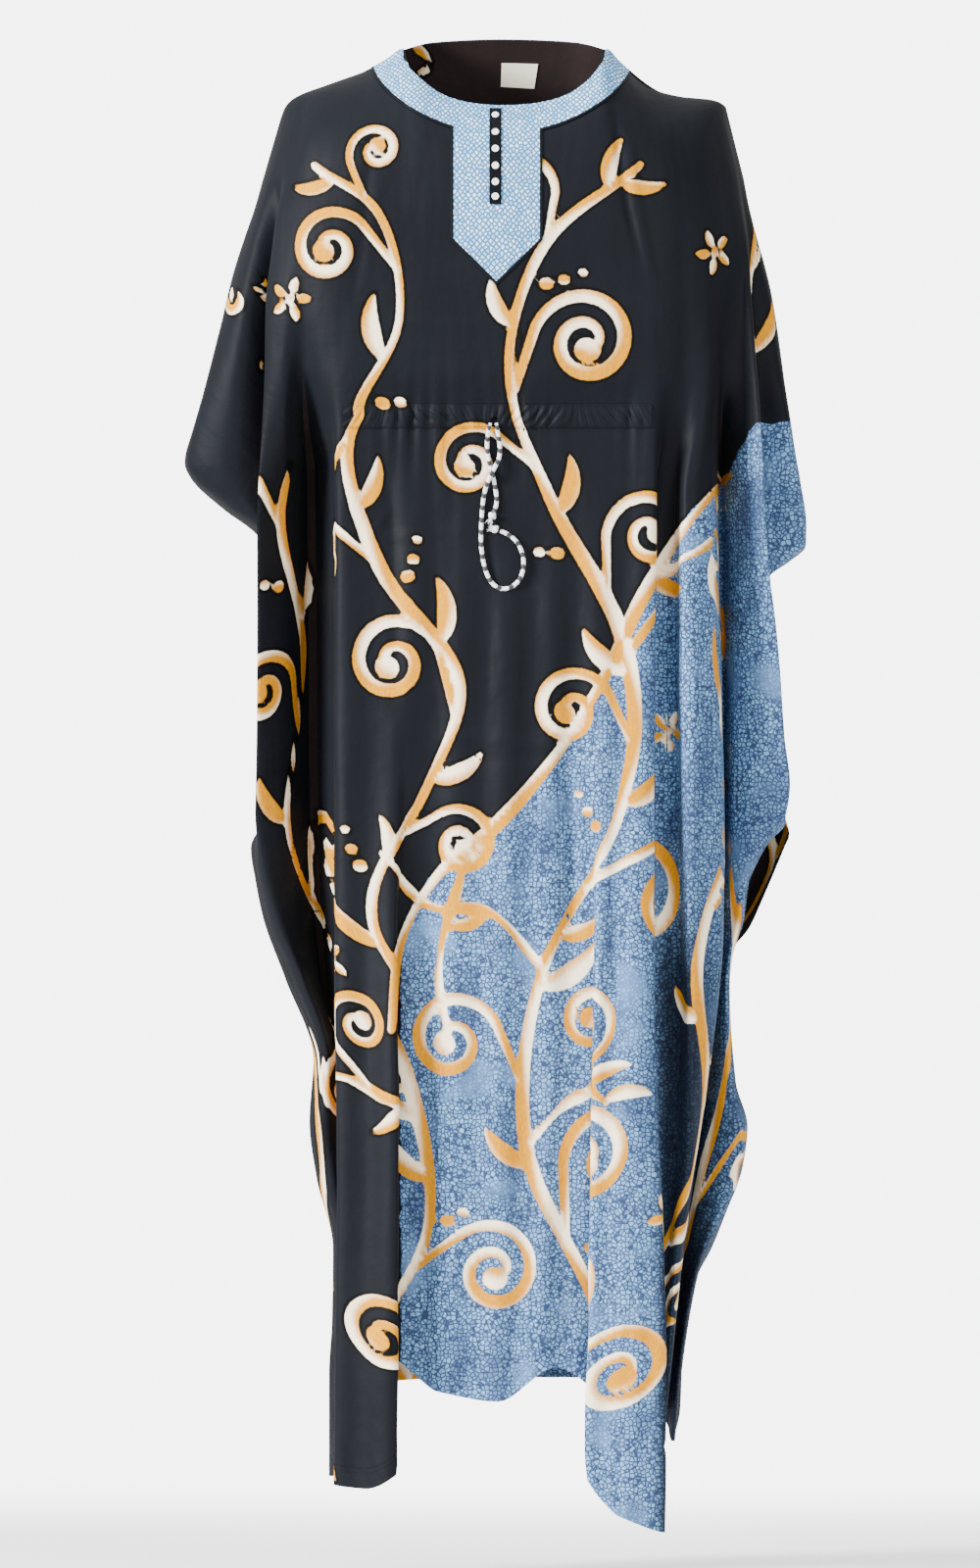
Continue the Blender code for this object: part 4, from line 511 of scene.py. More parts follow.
# Rows of dots: stem, share of the way up it, side, how many
DOT_ROWS = (
    (0, 0.155, 1, 3), (0, 0.44, -1, 3), (0, 0.635, -1, 2), (0, 0.86, 1, 3), (1, 0.19, 1, 2),
    (1, 0.40, -1, 3), (1, 0.62, 1, 3), (1, 0.76, 1, 2), (2, 0.30, 1, 3), (2, 0.70, 1, 3), (3, 0.30, -1, 3),
    (3, 0.70, -1, 3), (5, 0.75, 1, 3),
)

# Small flowers: centre, radius, petals, turn
FLOWERS = (
    ((-214, 700), 24, 5, 0), ((60, 1392), 25, 5, 20), ((232, 690), 23, 5, 15), ((236, 1180), 24, 5, 25),
    ((-214, 920), 23, 5, 50), ((-210, 250), 22, 5, 5), ((232, 200), 22, 5, 35),
)

# Where the black ground ends and the blue ground begins, seen from the front: across and down
BLUE_GROUND = (
    (400, 368), (262, 372), (232, 430), (196, 462), (150, 540), (112, 620), (60, 705), (-14, 790),
    (-70, 836), (-98, 900), (-99, 1010), (-99, 1180), (-98, 1320), (-98, 1600), (700, 1600),
    (700, 368),
)

# The same for the back: the blue of the sleeve, and the blue that starts lower down
BACK_BLUE_GROUND = (
    (400, 368), (262, 372), (232, 430), (236, 520), (262, 560), (330, 575), (500, 580), (500, 905),
    (300, 935), (250, 965), (190, 1010), (120, 1075), (40, 1120), (-40, 1150), (-100, 1200), (-104, 1320),
    (-100, 1600), (700, 1600), (700, 368),
)

# Strokes that follow the edge of the blue ground, seen from the front
BORDER_STEMS = (
    (((240, 420), (192, 476), (148, 548), (110, 628), (58, 712), (-4, 784), (-62, 834), (-98, 900),
      (-108, 990)), 16),
    (((24, 752), (-24, 806), (-46, 862), (-60, 930), (-50, 1000)), 12),
)

# Leaves printed by the back neck: base, length, heading, bend, width
BACK_NECK_LEAVES = (((120, -84), 46, 150, -60, 12), ((116, -44), 34, 190, 50, 10))

# Places deep in the side folds, which get no motif: centre and radius on the flat cloth
DEEP_FOLDS = (((-290, 490), 44), ((-228, 378), 40), ((272, 376), 46))

# How the motifs of the print are drawn
STEM_TIP = 0.3
SCROLL_LEAN = 62
SCROLL_REACH = 1.75
SCROLL_EYE = (0.42, 0.6, 0.74, 0.82, 0.8)
LEAF_LEAN = 48
LEAF_BEND = 55
DOT_ROOM = 7.0
BACK_VINE_SHIFT = (30, -50)

# How far from a stroke the print is worked out, and the length of one change of gold
FAR = 9.0
GOLD_RUN = 34.0
GROUND_REACH = 20

# Where the print fades on steep walls, and the painted shade that darkens the lower right wing's blue
SKEW_FADE = (0.54, 0.9)
FADED = 14
PAINTED_SHADE_FROM_X = (150, 172)
PAINTED_SHADE_FROM_DROP = (800, 960)
PAINTED_SHADE_LOSS_X = (196, 236)
PAINTED_SHADE_LOSS = 0.55

# Grain of the cloths: patches or threads to the metre
STROKE_GRAIN = 220
GROUND_GRAIN = 60
CLOUD_GRAIN = 9
PLAIN_GRAIN = 15
# The streaks of painted fold shadow, to the metre across and down
FOLD_SHADOW_GRAIN = (19, 7)
BRUSH_GRAIN = (420, 160)
CRUMPLE_GRAIN = 38
LONG_FOLD_GRAIN = (30, 7)
SHAKE_GRAIN = 120
CLOTH_THREADS = 1700
DARK_THREADS = 1500
RIBBON_THREADS = 2600

# Where each soft step of the printed colours, and of the painted fold shadows, starts and ends
HALO_STEP = (2.2, 4.2)
PEBBLE_STEP = (0.05, 0.19)
PLAIN_STEP = (0.56, 0.7)
FOLD_SHADOW_STEP = (0.5, 0.72)
GROUND_STEP = (-0.8, 0.8)
GOLD_STEP = (0.22, 0.8)
PAINT_STEP = (-0.7, 0.7)
DOT_STEP = (0.1, 0.26)

# Pebbles to the metre, and how far they are shaken, how uneven they are, and in how many ways
PEBBLES = 225.0
PEBBLE_SHAPE = (0.0012, 0.85, "3D")
BAND_PEBBLES = 225.0
DOT_SHAPE = (0.0008, 0.55, "2D")
DOT_SLANT = (0.77, 0.64)
DOT_DEPTH = 0.35

# Dark and light dye of the trims and threads
PIPING_BLACKS = ((6, 7, 10), (14, 16, 20))
PLACKET_BLACKS = ((3, 4, 6), (9, 10, 14))
REVERSE_DARKS = ((12, 9, 9), (20, 16, 16))
DARK_THREAD = ((4, 5, 7), (12, 14, 18))
BLUE_THREAD = ((120, 150, 190), (176, 202, 230))
WHITE_THREAD = ((214, 216, 220), (250, 250, 250))
HOLE_DARKS = ((14, 14, 16), (30, 30, 34))
KNOT_YARN = ((196, 200, 208), (250, 250, 250))
CORD_WHITES = ((206, 208, 214), (250, 250, 250))
CORD_DARK = (22, 24, 30)
BUTTON_WHITES = ((250, 250, 248), (224, 228, 232))
RIBBON_WHITES = ((214, 210, 186), (238, 235, 212))

# Stitches: slot, thread, spacing, length, width and seed of each kind
STITCHES = {
    "band": ("blue_cloth", "blue_thread", 2.9, 2.2, 0.4, 21),
    "placket": ("black_cloth", "dark_thread", 2.4, 1.9, 0.4, 3),
    "casing": ("black_cloth", "dark_thread", 2.9, 2.3, 0.45, 5),
    "label": ("white", "white_thread", 2.2, 1.7, 0.35, 7),
    "side": ("black_cloth", "dark_thread", 3.4, 2.7, 0.45, 9),
    "hem": ("black_cloth", "dark_thread", 3.4, 2.7, 0.45, 13),
}
STITCH_LIFT = 0.05
PANEL_STITCH_LIFT = 0.1
BAND_STITCH_INSET = 0.8
CASING_STITCH_ROWS = (1.2, CASING_ROWS - 2.2)
SIDE_STITCH_INSET = 14.0
SIDE_STITCH_DROPS = (330, 1400)
HEM_STITCHES_UP = (16.0, 21.0)

# Edges sharper than this, in degrees, stay sharp
SHARP_ANGLE = 55

# Studio: sky, floor, camera, and the lights with their place, aim, size and power
SKY_LIGHT = 1.0
SKY_SEEN = 6.0
FLOOR_FADE = (0.9, 2.6)
FLOOR = -1.545
CAMERA_X = -0.008
CAMERA_Z = -0.74
CAMERA_AWAY = 18.0
PICTURE_HEIGHT = 1.6
LIGHTS = (
    ("key", (-4.4, -2.8, 1.0), (0, 0, -0.7), 1.5, 1060),
    ("fill", (2.6, -4.8, 0.6), (0, 0, -0.8), 2.6, 210),
    ("top", (-0.6, -1.0, 3.2), (0, 0, -0.8), 2.5, 110),
    ("back", (0.1, 3.5, -0.7), (0, 0, -0.8), 0.9, 190),
)


def monotone_slopes(t, values):
    """Slopes of a smooth curve through the values that never overshoots them."""
    steps = np.diff(values) / np.diff(t)
    slopes = np.empty(len(values))
    slopes[0] = steps[0]
    slopes[-1] = steps[-1]
    for i in range(1, len(values) - 1):
        before, after = steps[i - 1], steps[i]
        slopes[i] = 0.0 if before * after <= 0 else 2 * before * after / (before + after)
    return slopes


def smooth_curve(t, values, at):
    """The value at each place along a smooth curve, held level beyond its ends."""
    t = np.asarray(t, float)
    values = np.asarray(values, float)
    at = np.clip(at, t[0], t[-1])
    slopes = monotone_slopes(t, values)
    i = np.clip(np.searchsorted(t, at) - 1, 0, len(t) - 2)
    span = t[i + 1] - t[i]
    f = (at - t[i]) / span
    rise = values[i + 1] - values[i]
    a = slopes[i] * span - rise
    b = rise - slopes[i + 1] * span
    return values[i] + f * rise + f * (1 - f) * (a * (1 - f) + b * f)


def across(p0, p1, p2, p3, f):
    """A point between p1 and p2 on the rounded curve through four points."""
    t01, t12, t23 = (np.maximum(np.linalg.norm(b - a, axis=-1, keepdims=True), 1e-6) ** 0.5
                     for a, b in ((p0, p1), (p1, p2), (p2, p3)))
    m1 = p2 - p1 + t12 * ((p1 - p0) / t01 - (p2 - p0) / (t01 + t12))
    m2 = p2 - p1 + t12 * ((p3 - p2) / t23 - (p3 - p1) / (t12 + t23))
    return p1 + f * m1 + f * f * (3 * (p2 - p1) - 2 * m1 - m2) + f ** 3 * (2 * (p1 - p2) + m1 + m2)


def rounded_line(points, steps):
    """A rounded line through points, with that many steps from each to the next."""
    points = np.array(points, float)
    padded = np.concatenate([[2 * points[0] - points[1]], points, [2 * points[-1] - points[-2]]])
    shares = np.linspace(0, 1, steps, False)
    return np.concatenate([[across(*padded[i:i + 4], f) for f in shares] for i in range(len(points) - 1)]
                          + [points[-1:]])


def travelled(points):
    """How far along a line each of its points lies."""
    return np.concatenate([[0], np.cumsum(np.linalg.norm(np.diff(points, axis=0), axis=1))])


def shoulder_drop(x):
    """Drop of the shoulder line at x."""
    xs = [row[0] for row in SHOULDER_LINE]
    return float(smooth_curve(xs, [row[1] for row in SHOULDER_LINE], x))


def neck_point(angle, side):
    """A point (x, drop, y) of the neck edge, on the front (-1) or the back (+1)."""
    turn = math.radians(angle)
    along = math.copysign(abs(math.cos(turn)) ** NECK_SQUARENESS, math.cos(turn))
    forward = abs(math.sin(turn))
    low = NECK_FRONT_DROP if side < 0 else NECK_BACK_DROP
    depth = NECK_FRONT_DEPTH if side < 0 else NECK_BACK_DEPTH
    drop = NECK_SIDE_DROP + (low - NECK_SIDE_DROP) * forward ** NECK_DROP_POWER
    return NECK_X + NECK_HALF_WIDTH * along, drop, side * (depth * forward ** NECK_DEPTH_POWER + GAP / 2)


class Panel:
    """A draped panel, the front (-1) or the back (+1), as a surface over its fold lines."""

    def __init__(self, folds, side):
        self.folds = folds
        self.side = side
        self.hems = np.array([fold[2] for fold in folds], float)
        self.tops = np.array([self.top_of(fold[1]) for fold in folds])
        self.slopes = np.array([self.slope_of(fold[1]) for fold in folds])
        self.corners = [i for i, fold in enumerate(folds) if fold[1] in (("neck", 180), ("neck", 0))]

    def top_of(self, start):
        """The point (x, drop, y) where a fold line starts."""
        kind, value = start
        if kind == "neck":
            return neck_point(value, self.side)
        return value, shoulder_drop(value), self.side * GAP / 2

    def slope_of(self, start):
        """How steeply the cloth leaves that point."""
        kind, value = start
        if kind == "neck":
            return NECK_SIDE_SLOPE + (NECK_SLOPE - NECK_SIDE_SLOPE) * math.sin(math.radians(value))
        from_neck = abs(value - NECK_X) - NECK_HALF_WIDTH
        return NECK_SIDE_SLOPE * max(0.0, 1 - from_neck / NECK_SLOPE_REACH)

    def line_at(self, index, drops):
        """The places (x, y) of one fold line at the given drops."""
        t, *ways = zip(*self.folds[index][4])
        x, y = (smooth_curve(t, values, drops) for values in ways)
        return np.stack([x, np.where(np.abs(y) < GAP / 2, self.side * GAP / 2, y)], axis=-1)

    def between(self, values, k, f, split=()):
        """A value between fold lines k and k + 1. A split line is a corner of the curve."""
        last = len(self.folds) - 1
        p1, p2 = values(k), values(k + 1)
        p0 = values(k - 1) if k > 0 and k not in split else 2 * p1 - p2
        p3 = values(k + 2) if k + 2 <= last and k + 1 not in split else 2 * p2 - p1
        return across(p0, p1, p2, p3, f)

    def column(self, k, f, round_rows, level_rows, hem_rows):
        """The points (x, y, drop) down one column."""
        top = self.between(lambda i: self.tops[i], k, f, self.corners)
        slope = self.slopes[k] + (self.slopes[k + 1] - self.slopes[k]) * f
        hem = float(self.between(lambda i: np.array([self.hems[i]]), k, f)[0])
        hem = min(max(hem, min(self.hems[k:k + 2])), max(self.hems[k:k + 2]))
        spread = SPREAD_FROM + (hem - SPREAD_FROM) * np.arange(1, hem_rows + 1) / hem_rows
        drops = np.concatenate([[CHEST], level_rows, spread])
        body = self.between(lambda i: self.line_at(i, drops), k, f)
        chest = body[0]
        turn = slope + (math.pi / 2 - slope) * np.arange(round_rows) / round_rows
        fall = (math.cos(slope) - np.cos(turn)) / math.cos(slope)
        reach = (np.sin(turn) - math.sin(slope)) / (1 - math.sin(slope))
        from_neck = max(0.0, abs(top[0] - NECK_X) - NECK_HALF_WIDTH) / SHOULDER_LENGTH
        spread = NECK_SPREAD * max(0.0, 1 - from_neck)
        rounded = np.stack([
            top[0] + (chest[0] - top[0]) * (fall + (reach - fall) * spread),
            top[2] + (chest[1] - top[2]) * reach,
            top[1] + (CHEST - top[1]) * fall], axis=-1)
        return np.concatenate([rounded, np.stack([body[:, 0], body[:, 1], drops], axis=-1)])

    def grid(self, round_rows, level_rows, hem_rows, finer):
        """The surface as rows and columns of points in metres."""
        lines = []
        for k, fold in enumerate(self.folds[:-1]):
            count = fold[3] * finer
            shares = [i / count for i in range(count)] + [1.0] * (k == len(self.folds) - 2)
            lines += [self.column(k, share, round_rows, level_rows, hem_rows) for share in shares]
        return np.stack(lines, axis=1) * (1, 1, -1) * MM

    def column_of(self, name, columns):
        """The column at which a named fold line lies on a grid with that many columns."""
        steps = [fold[3] for fold in self.folds[:-1]]
        before = sum(steps[:[fold[0] for fold in self.folds].index(name)])
        return before * (columns - 1) / sum(steps)

    def seam_mask(self, grid):
        """Where a grid lies on the line that front and back share."""
        drops = -grid[..., 2] / MM
        mask = np.zeros(grid.shape[:2], bool)
        mask[0] = np.abs(grid[0, :, 1]) < ON_SEAM * MM
        mask[:, 0] = drops[:, 0] <= LEFT_CUFF_CORNER
        mask[:, -1] = drops[:, -1] <= RIGHT_CUFF_CORNER
        return mask


def unit(vectors):
    """The vectors at length one."""
    return vectors / np.maximum(np.linalg.norm(vectors, axis=-1, keepdims=True), 1e-12)


def grid_tangents(grid, axis):
    """The mean direction of the two stretches that meet at each point, along one axis."""
    count = grid.shape[axis]
    steps = unit(np.diff(grid, axis=axis))
    before = steps.take([0] + list(range(count - 1)), axis)
    after = steps.take(list(range(count - 1)) + [count - 2], axis)
    return before + after


def grid_normals(grid, side):
    """A unit normal at each point of a panel's grid, facing away from the body."""
    return unit(np.cross(grid_tangents(grid, 0), grid_tangents(grid, 1))) * -side


def grid_flat(grid):
    """Flat places (across, down) of a grid of points, by the lengths along it, in millimetres."""
    runs = []
    for axis in (1, 0):
        steps = np.linalg.norm(np.diff(grid, axis=axis), axis=2) / MM
        start = np.zeros_like(steps.take([0], axis))
        runs.append(np.concatenate([start, np.cumsum(steps, axis=axis)], axis=axis))
    return np.stack(runs, axis=-1)


def surface_tree(grid):
    """A search tree over a grid of points."""
    rows, columns = grid.shape[:2]
    index = np.arange(rows * columns).reshape(rows, columns)
    corners = np.stack([index[:-1, :-1], index[:-1, 1:], index[1:, 1:], index[1:, :-1]], axis=-1)
    return BVHTree.FromPolygons(grid.reshape(-1, 3).tolist(), corners.reshape(-1, 4).tolist())


def seen_from(tree, x, drop, side, guess=0.0):
    """The surface's point at x and drop, seen from the front (-1) or the back (+1)."""
    hit = tree.ray_cast(Vector((x * MM, side * 1.0, -drop * MM)), Vector((0, -side, 0)))[0]
    if hit is None:
        hit = tree.find_nearest(Vector((x, guess, -drop)) * MM)[0]
    return np.array(hit)


def surface_frame(tree, x, drop):
    """A point on the front of a surface and the direction straight away from it."""
    point = seen_from(tree, x, drop, -1)
    normal = np.array(tree.find_nearest(Vector(point))[1])
    return point, unit(normal if normal[1] < 0 else -normal)


def band_outer_point(angle):
    """The outer edge (x, drop) of the neck band, seen from the front."""
    turn = math.radians(angle)
    fall = abs(math.sin(turn)) ** BAND_SAG
    return (BAND_X + BAND_HALF_WIDTH * math.cos(turn),
            BAND_SIDE_DROP + (BAND_FRONT_DROP - BAND_SIDE_DROP) * fall)


def yoke_bottom(x):
    """Drop of the yoke's lower edge at x."""
    tip_x, tip_drop = YOKE_POINT
    side_x = YOKE_LEFT if x < tip_x else YOKE_RIGHT
    return tip_drop + (YOKE_SHOULDER_DROP - tip_drop) * (x - tip_x) / (side_x - tip_x)


def band_angles():
    """Angles of the band's columns, and the columns at the yoke's two sides."""
    marks = [math.degrees(math.acos((x - BAND_X) / BAND_HALF_WIDTH))
             for x in (YOKE_LEFT, YOKE_POINT[0], YOKE_RIGHT)]
    marks = [180.0, *marks, 0.0]
    angles = []
    for first, last, count in zip(marks, marks[1:], BAND_COLUMNS):
        angles += [first + (last - first) * i / count for i in range(count)]
    return angles + [0.0], BAND_COLUMNS[0], sum(BAND_COLUMNS[:3])


def band_grid(tree, side):
    """The neck band of one side, laid on the panel, with the yoke's rows on the front."""
    angles, yoke_first, yoke_last = band_angles()
    rows = BAND_STEPS + 1 + (YOKE_STEPS if side < 0 else 0)
    grid = np.zeros((rows, len(angles), 3))
    for c, angle in enumerate(angles):
        x, drop, y = neck_point(angle, side)
        inner = np.array((x, y, -drop)) * MM
        outer_x, outer_drop = band_outer_point(angle)
        at_end = c in (0, len(angles) - 1)
        turn = math.radians(angle)
        if at_end:
            outer = np.array((outer_x, side * GAP / 2, -shoulder_drop(outer_x))) * MM
        elif side < 0:
            outer = seen_from(tree, outer_x, outer_drop, side, -NECK_FRONT_DEPTH * math.sin(turn))
        else:
            target = inner + np.array((math.cos(turn), math.sin(turn), 0.0)) * BAND_WIDTH * MM
            target[2] -= BAND_WIDTH * BAND_BACK_FALL * MM
            outer = np.array(tree.find_nearest(Vector(target))[0])
        for r in range(BAND_STEPS + 1):
            target = inner + (outer - inner) * r / BAND_STEPS
            if at_end:
                target[2] = -shoulder_drop(target[0] / MM) * MM
                grid[r, c] = target
            else:
                grid[r, c] = tree.find_nearest(Vector(target))[0]
        for r in range(BAND_STEPS + 1, rows):
            share = (r - BAND_STEPS) / YOKE_STEPS
            if yoke_first <= c <= yoke_last:
                drop = outer_drop + (yoke_bottom(outer_x) - outer_drop) * share
                grid[r, c] = seen_from(tree, outer_x, drop, side)
            else:
                grid[r, c] = grid[BAND_STEPS, c]
    cells = np.ones((rows - 1, len(angles) - 1), bool)
    cells[BAND_STEPS:, :yoke_first] = False
    cells[BAND_STEPS:, yoke_last:] = False
    return grid, cells


def lay_normals(tree, grid, side, flat_ends=False):
    """Normals of the surface under each point, smoothed, facing away from the body."""
    normals = np.zeros_like(grid)
    for place in np.ndindex(grid.shape[:2]):
        normal = np.array(tree.find_nearest(Vector(grid[place]))[1])
        outward = np.array((grid[place][0] - NECK_X * MM, side * 0.15, 0.25))
        normals[place] = normal if normal @ outward > 0 else -normal
    for axis in (0, 1):
        count = normals.shape[axis]
        padded = np.concatenate([normals.take([0], axis), normals, normals.take([-1], axis)], axis)
        normals = padded.take(range(count), axis) + 2 * normals + padded.take(range(2, count + 2), axis)
    if flat_ends:
        normals[:, 0, 1] = 0
        normals[:, -1, 1] = 0
    return unit(normals)


def lay_on(tree, grid, side, height, flat_ends=False):
    """A grid lifted a height off the surface that it lies on, and its normals."""
    normals = lay_normals(tree, grid, side, flat_ends)
    return grid + normals * height * MM, normals


def piping_grid(tree, path, side):
    """A narrow strip that runs beside a path on a surface, on its outer side."""
    normals = lay_normals(tree, path[None], side)[0]
    steps = unit(np.diff(path, axis=0))
    after = np.concatenate([steps, steps[-1:]])
    along = unit(np.concatenate([steps[:1], steps]) + after)
    mitre = np.minimum(1 / np.sum(along * after, axis=1), MITRE_LIMIT)
    out = unit(np.cross(along, normals)) * mitre[:, None]
    grid = np.zeros((PIPING_ROWS, len(path), 3))
    for r, distance in enumerate(np.linspace(PIPING_GAP, PIPING_GAP + PIPING_WIDTH, PIPING_ROWS)):
        for c, point in enumerate(path + out * distance * MM):
            grid[r, c] = tree.find_nearest(Vector(point))[0]
    for c in (0, -1):
        grid[:, c, 1] = side * GAP / 2 * MM
        grid[:, c, 2] = [-shoulder_drop(x / MM) * MM for x in grid[:, c, 0]]
    return grid


def band_edge(grid):
    """The outer edge of the front band and yoke, from the right shoulder to the left one."""
    _, first, last = band_angles()
    left = grid[BAND_STEPS, :first + 1]
    down = grid[BAND_STEPS + 1:, first]
    under = grid[-1, first + 1:last]
    up = grid[BAND_STEPS:, last][::-1]
    right = grid[BAND_STEPS, last + 1:]
    return np.concatenate([left, down, under, up, right])


def patch_grid(tree, corners, steps, side):
    """A four-cornered patch on a surface, its corners (x, drop) clockwise from the upper left."""
    rows, columns = steps
    upper_left, upper_right, lower_right, lower_left = np.array(corners, float)
    grid = np.zeros((rows + 1, columns + 1, 3))
    for r, c in np.ndindex(rows + 1, columns + 1):
        upper = upper_left + (upper_right - upper_left) * (c / columns)
        lower = lower_left + (lower_right - lower_left) * (c / columns)
        x, drop = upper + (lower - upper) * (r / rows)
        grid[r, c] = seen_from(tree, x, drop, side)
    return grid


def ease(low, high, value):
    """Zero below low, one above high, and a soft rise between."""
    share = np.clip((value - low) / (high - low), 0, 1)
    return share * share * (3 - 2 * share)


def relief(x, drop, side):
    """How far creases, gathers and flutes lift the cloth at a place, in millimetres."""
    lift = np.zeros_like(x)
    for crease_side, start, end, height, softness in CREASES:
        if crease_side == side:
            run = np.subtract(end, start)
            length = np.hypot(*run)
            along = ((x - start[0]) * run[0] + (drop - start[1]) * run[1]) / length ** 2
            off = ((x - start[0]) * run[1] - (drop - start[1]) * run[0]) / length
            off = off + 0.012 * length * np.sin(along * 5 + length)
            ends = ease(-0.04, 0.24, along) * ease(-0.04, 0.24, 1 - along)
            lift += height * np.exp(-(off / softness) ** 2) * ends
    below = drop > CASING_MIDDLE
    reach = np.where(below, GATHER_BELOW, GATHER_ABOVE) * (0.75 + 0.4 * np.sin(x / 37 + 2))
    fade = np.exp(-np.abs(drop - CASING_MIDDLE) / reach) * ease(0, 24, GATHER_REACH - np.abs(x))
    turn = math.tau * x / GATHER_WIDTH + 2.2 * np.sin(x / 41) + 1.4 * np.sin(x / 19 + drop / 70)
    uneven = 0.45 + 0.55 * np.sin(x / 27 + 1.3) * np.sin(x / 63)
    lift += GATHER_HEIGHT * fade * uneven * (np.sin(turn) + 0.5 * np.sin(turn * 0.47 + 1))
    turn = math.tau * x / FLUTE_WIDTH + 1.6 * np.sin(x / 70 + side) + drop / 400
    lift += FLUTE_HEIGHT * ease(380, 620, drop) * np.sin(turn)
    lift += 0.7 * np.sin(x / 21 + drop / 57) * np.sin(drop / 33 - x / 45 + side)
    return lift


class Cloth:
    """A panel's fine surface with its creases, and where each point lay on the flat cloth."""

    def __init__(self, folds, side, finer, inner_lines):
        self.side = side
        panel = Panel(folds, side)
        levels = np.arange(CHEST + ROW_STEP, SPREAD_FROM + 1, ROW_STEP)
        smooth = panel.grid(ROUND_ROWS, levels, HEM_ROWS, finer)
        seam = panel.seam_mask(smooth)
        normals = grid_normals(smooth, side)
        for end, beside in ((0, 1), (-1, -2)):
            normals[0, end] = normals[0, beside] + normals[1, end]
        normals[seam, 1] = 0
        normals = unit(normals)
        x, drop = smooth[..., 0] / MM, -smooth[..., 2] / MM
        self.middle = int(np.argmin(np.abs(x[ROUND_ROWS])))
        self.inner = [panel.column_of(name, smooth.shape[1]) for name in inner_lines]
        lift = relief(x, drop, side) * self.freedom(*smooth.shape[:2])
        self.grid = smooth + normals * (lift * MM)[..., None]
        turned = grid_normals(self.grid, side)
        turned[seam, 1] = 0
        turned[0], turned[:, 0], turned[:, -1] = normals[0], normals[:, 0], normals[:, -1]
        self.normals = unit(turned)
        self.flat = self.lay_flat()

    def freedom(self, rows, columns):
        """How much of the relief a place takes: all between the inner lines, none at the seams."""
        rows, index = np.arange(rows), np.arange(columns)
        margin = columns * RELIEF_MARGIN
        first, last = self.inner
        side_free = ease(-margin, margin, index - first) * ease(-margin, margin, last - index)
        side_free = OUTER_RELIEF + (1 - OUTER_RELIEF) * side_free
        top_free = ease(0, ROUND_ROWS * 0.6, rows)
        return side_free[None, :] * top_free[:, None] * ease(0, EDGE_COLUMNS, index)[None, :] \
            * ease(0, EDGE_COLUMNS, index[-1] - index)[None, :]

    def lay_flat(self):
        """Place (across, down) of every point on the flat cloth, in millimetres."""
        run, down = np.moveaxis(grid_flat(self.grid), -1, 0)
        run = run - run[:, self.middle:self.middle + 1]
        run[:ROUND_ROWS] = run[ROUND_ROWS]
        return np.stack([run, down + (CHEST - down[ROUND_ROWS:ROUND_ROWS + 1])], axis=-1)


def stem(knots, width):
    """A curved stem through knots (across, down) that thins to its ends."""
    points = rounded_line(knots, 9)
    t = np.linspace(0, 1, len(points))
    swell = 1 + 0.26 * np.sin(t * 17 + width)
    thinning = STEM_TIP + (1 - STEM_TIP) * np.sin(math.pi * np.clip(t * 0.9 + 0.08, 0, 1)) ** 0.5
    return points, width * 0.39 * swell * thinning


def place_on(stroke, share):
    """The point and the heading at a share of the way along a stroke."""
    points = stroke[0]
    i = min(int(share * (len(points) - 1)), len(points) - 2)
    return points[i], unit(points[i + 1] - points[i])


def scroll(stroke, share, side, radius, turns, width):
    """A scroll that leaves a stem on one side and winds in to a round eye, and its centre."""
    base, heading = place_on(stroke, share)
    beside = np.array((-heading[1], heading[0])) * side
    lean = math.radians(SCROLL_LEAN)
    centre = base + (heading * math.cos(lean) + beside * math.sin(lean)) * radius * SCROLL_REACH
    away = base - centre
    opening = math.acos(min(1.0, radius / np.linalg.norm(away)))
    ways = []
    for hand in (1, -1):
        start = math.atan2(away[1], away[0]) + hand * opening
        touch = centre + radius * np.array((math.cos(start), math.sin(start)))
        ways.append(((touch - base) @ heading, hand, start))
    _, hand, start = max(ways)
    t = np.linspace(0, 1, int(26 * turns) + 8)
    size = radius * (1 - 0.85 * t ** 0.85)
    turn = start + hand * math.tau * turns * t
    wound = np.stack([centre[0] + size * np.cos(turn), centre[1] + size * np.sin(turn)], axis=-1)
    entry = base + (wound[0] - base) * np.linspace(0, 1, 6)[:-1, None]
    points = np.concatenate([entry, wound])
    run = np.linspace(0, 1, len(points))
    halves = width * 0.42 * (0.58 + 0.62 * np.sin(math.pi * run ** 0.8) - 0.16 * run)
    halves[-5:] = width * np.array(SCROLL_EYE)
    return (points, halves), centre


def leaf(base, length, heading, bend, width):
    """A leaf with one fat side, from its base along a heading in degrees."""
    t = np.linspace(0, 1, 20)
    turn = math.radians(heading) + math.radians(bend) * (t - 0.3)
    steps = np.stack([np.cos(turn), np.sin(turn)], axis=-1) * length / len(t)
    points = np.array(base, float) + np.cumsum(steps, axis=0)
    halves = width * 0.44 * np.sin(math.pi * t ** 0.75) ** 0.8 + 0.7
    return points, halves


def leaf_on(stroke, share, side, length, width):
    """A leaf that leaves a stem on one side and bends back towards it."""
    base, heading = place_on(stroke, share)
    angle = math.degrees(math.atan2(heading[1], heading[0])) + side * LEAF_LEAN
    return leaf(base, length, angle, -side * LEAF_BEND, width)


def berry(centre, radius):
    """A round dot."""
    centre = np.array(centre, float)
    return np.array([centre - (radius * 0.25, 0), centre + (radius * 0.25, 0)]), np.full(2, radius * 0.9)


def dots_on(stroke, share, side, count):
    """A row of dots that shrinks away from a stem."""
    base, heading = place_on(stroke, share)
    beside = np.array((-heading[1], heading[0])) * side
    return [berry(base + beside * (20 + 15 * k) + heading * (6 + 9 * k + 1.6 * k * k), 6.6 - 1.1 * k)
            for k in range(count)]


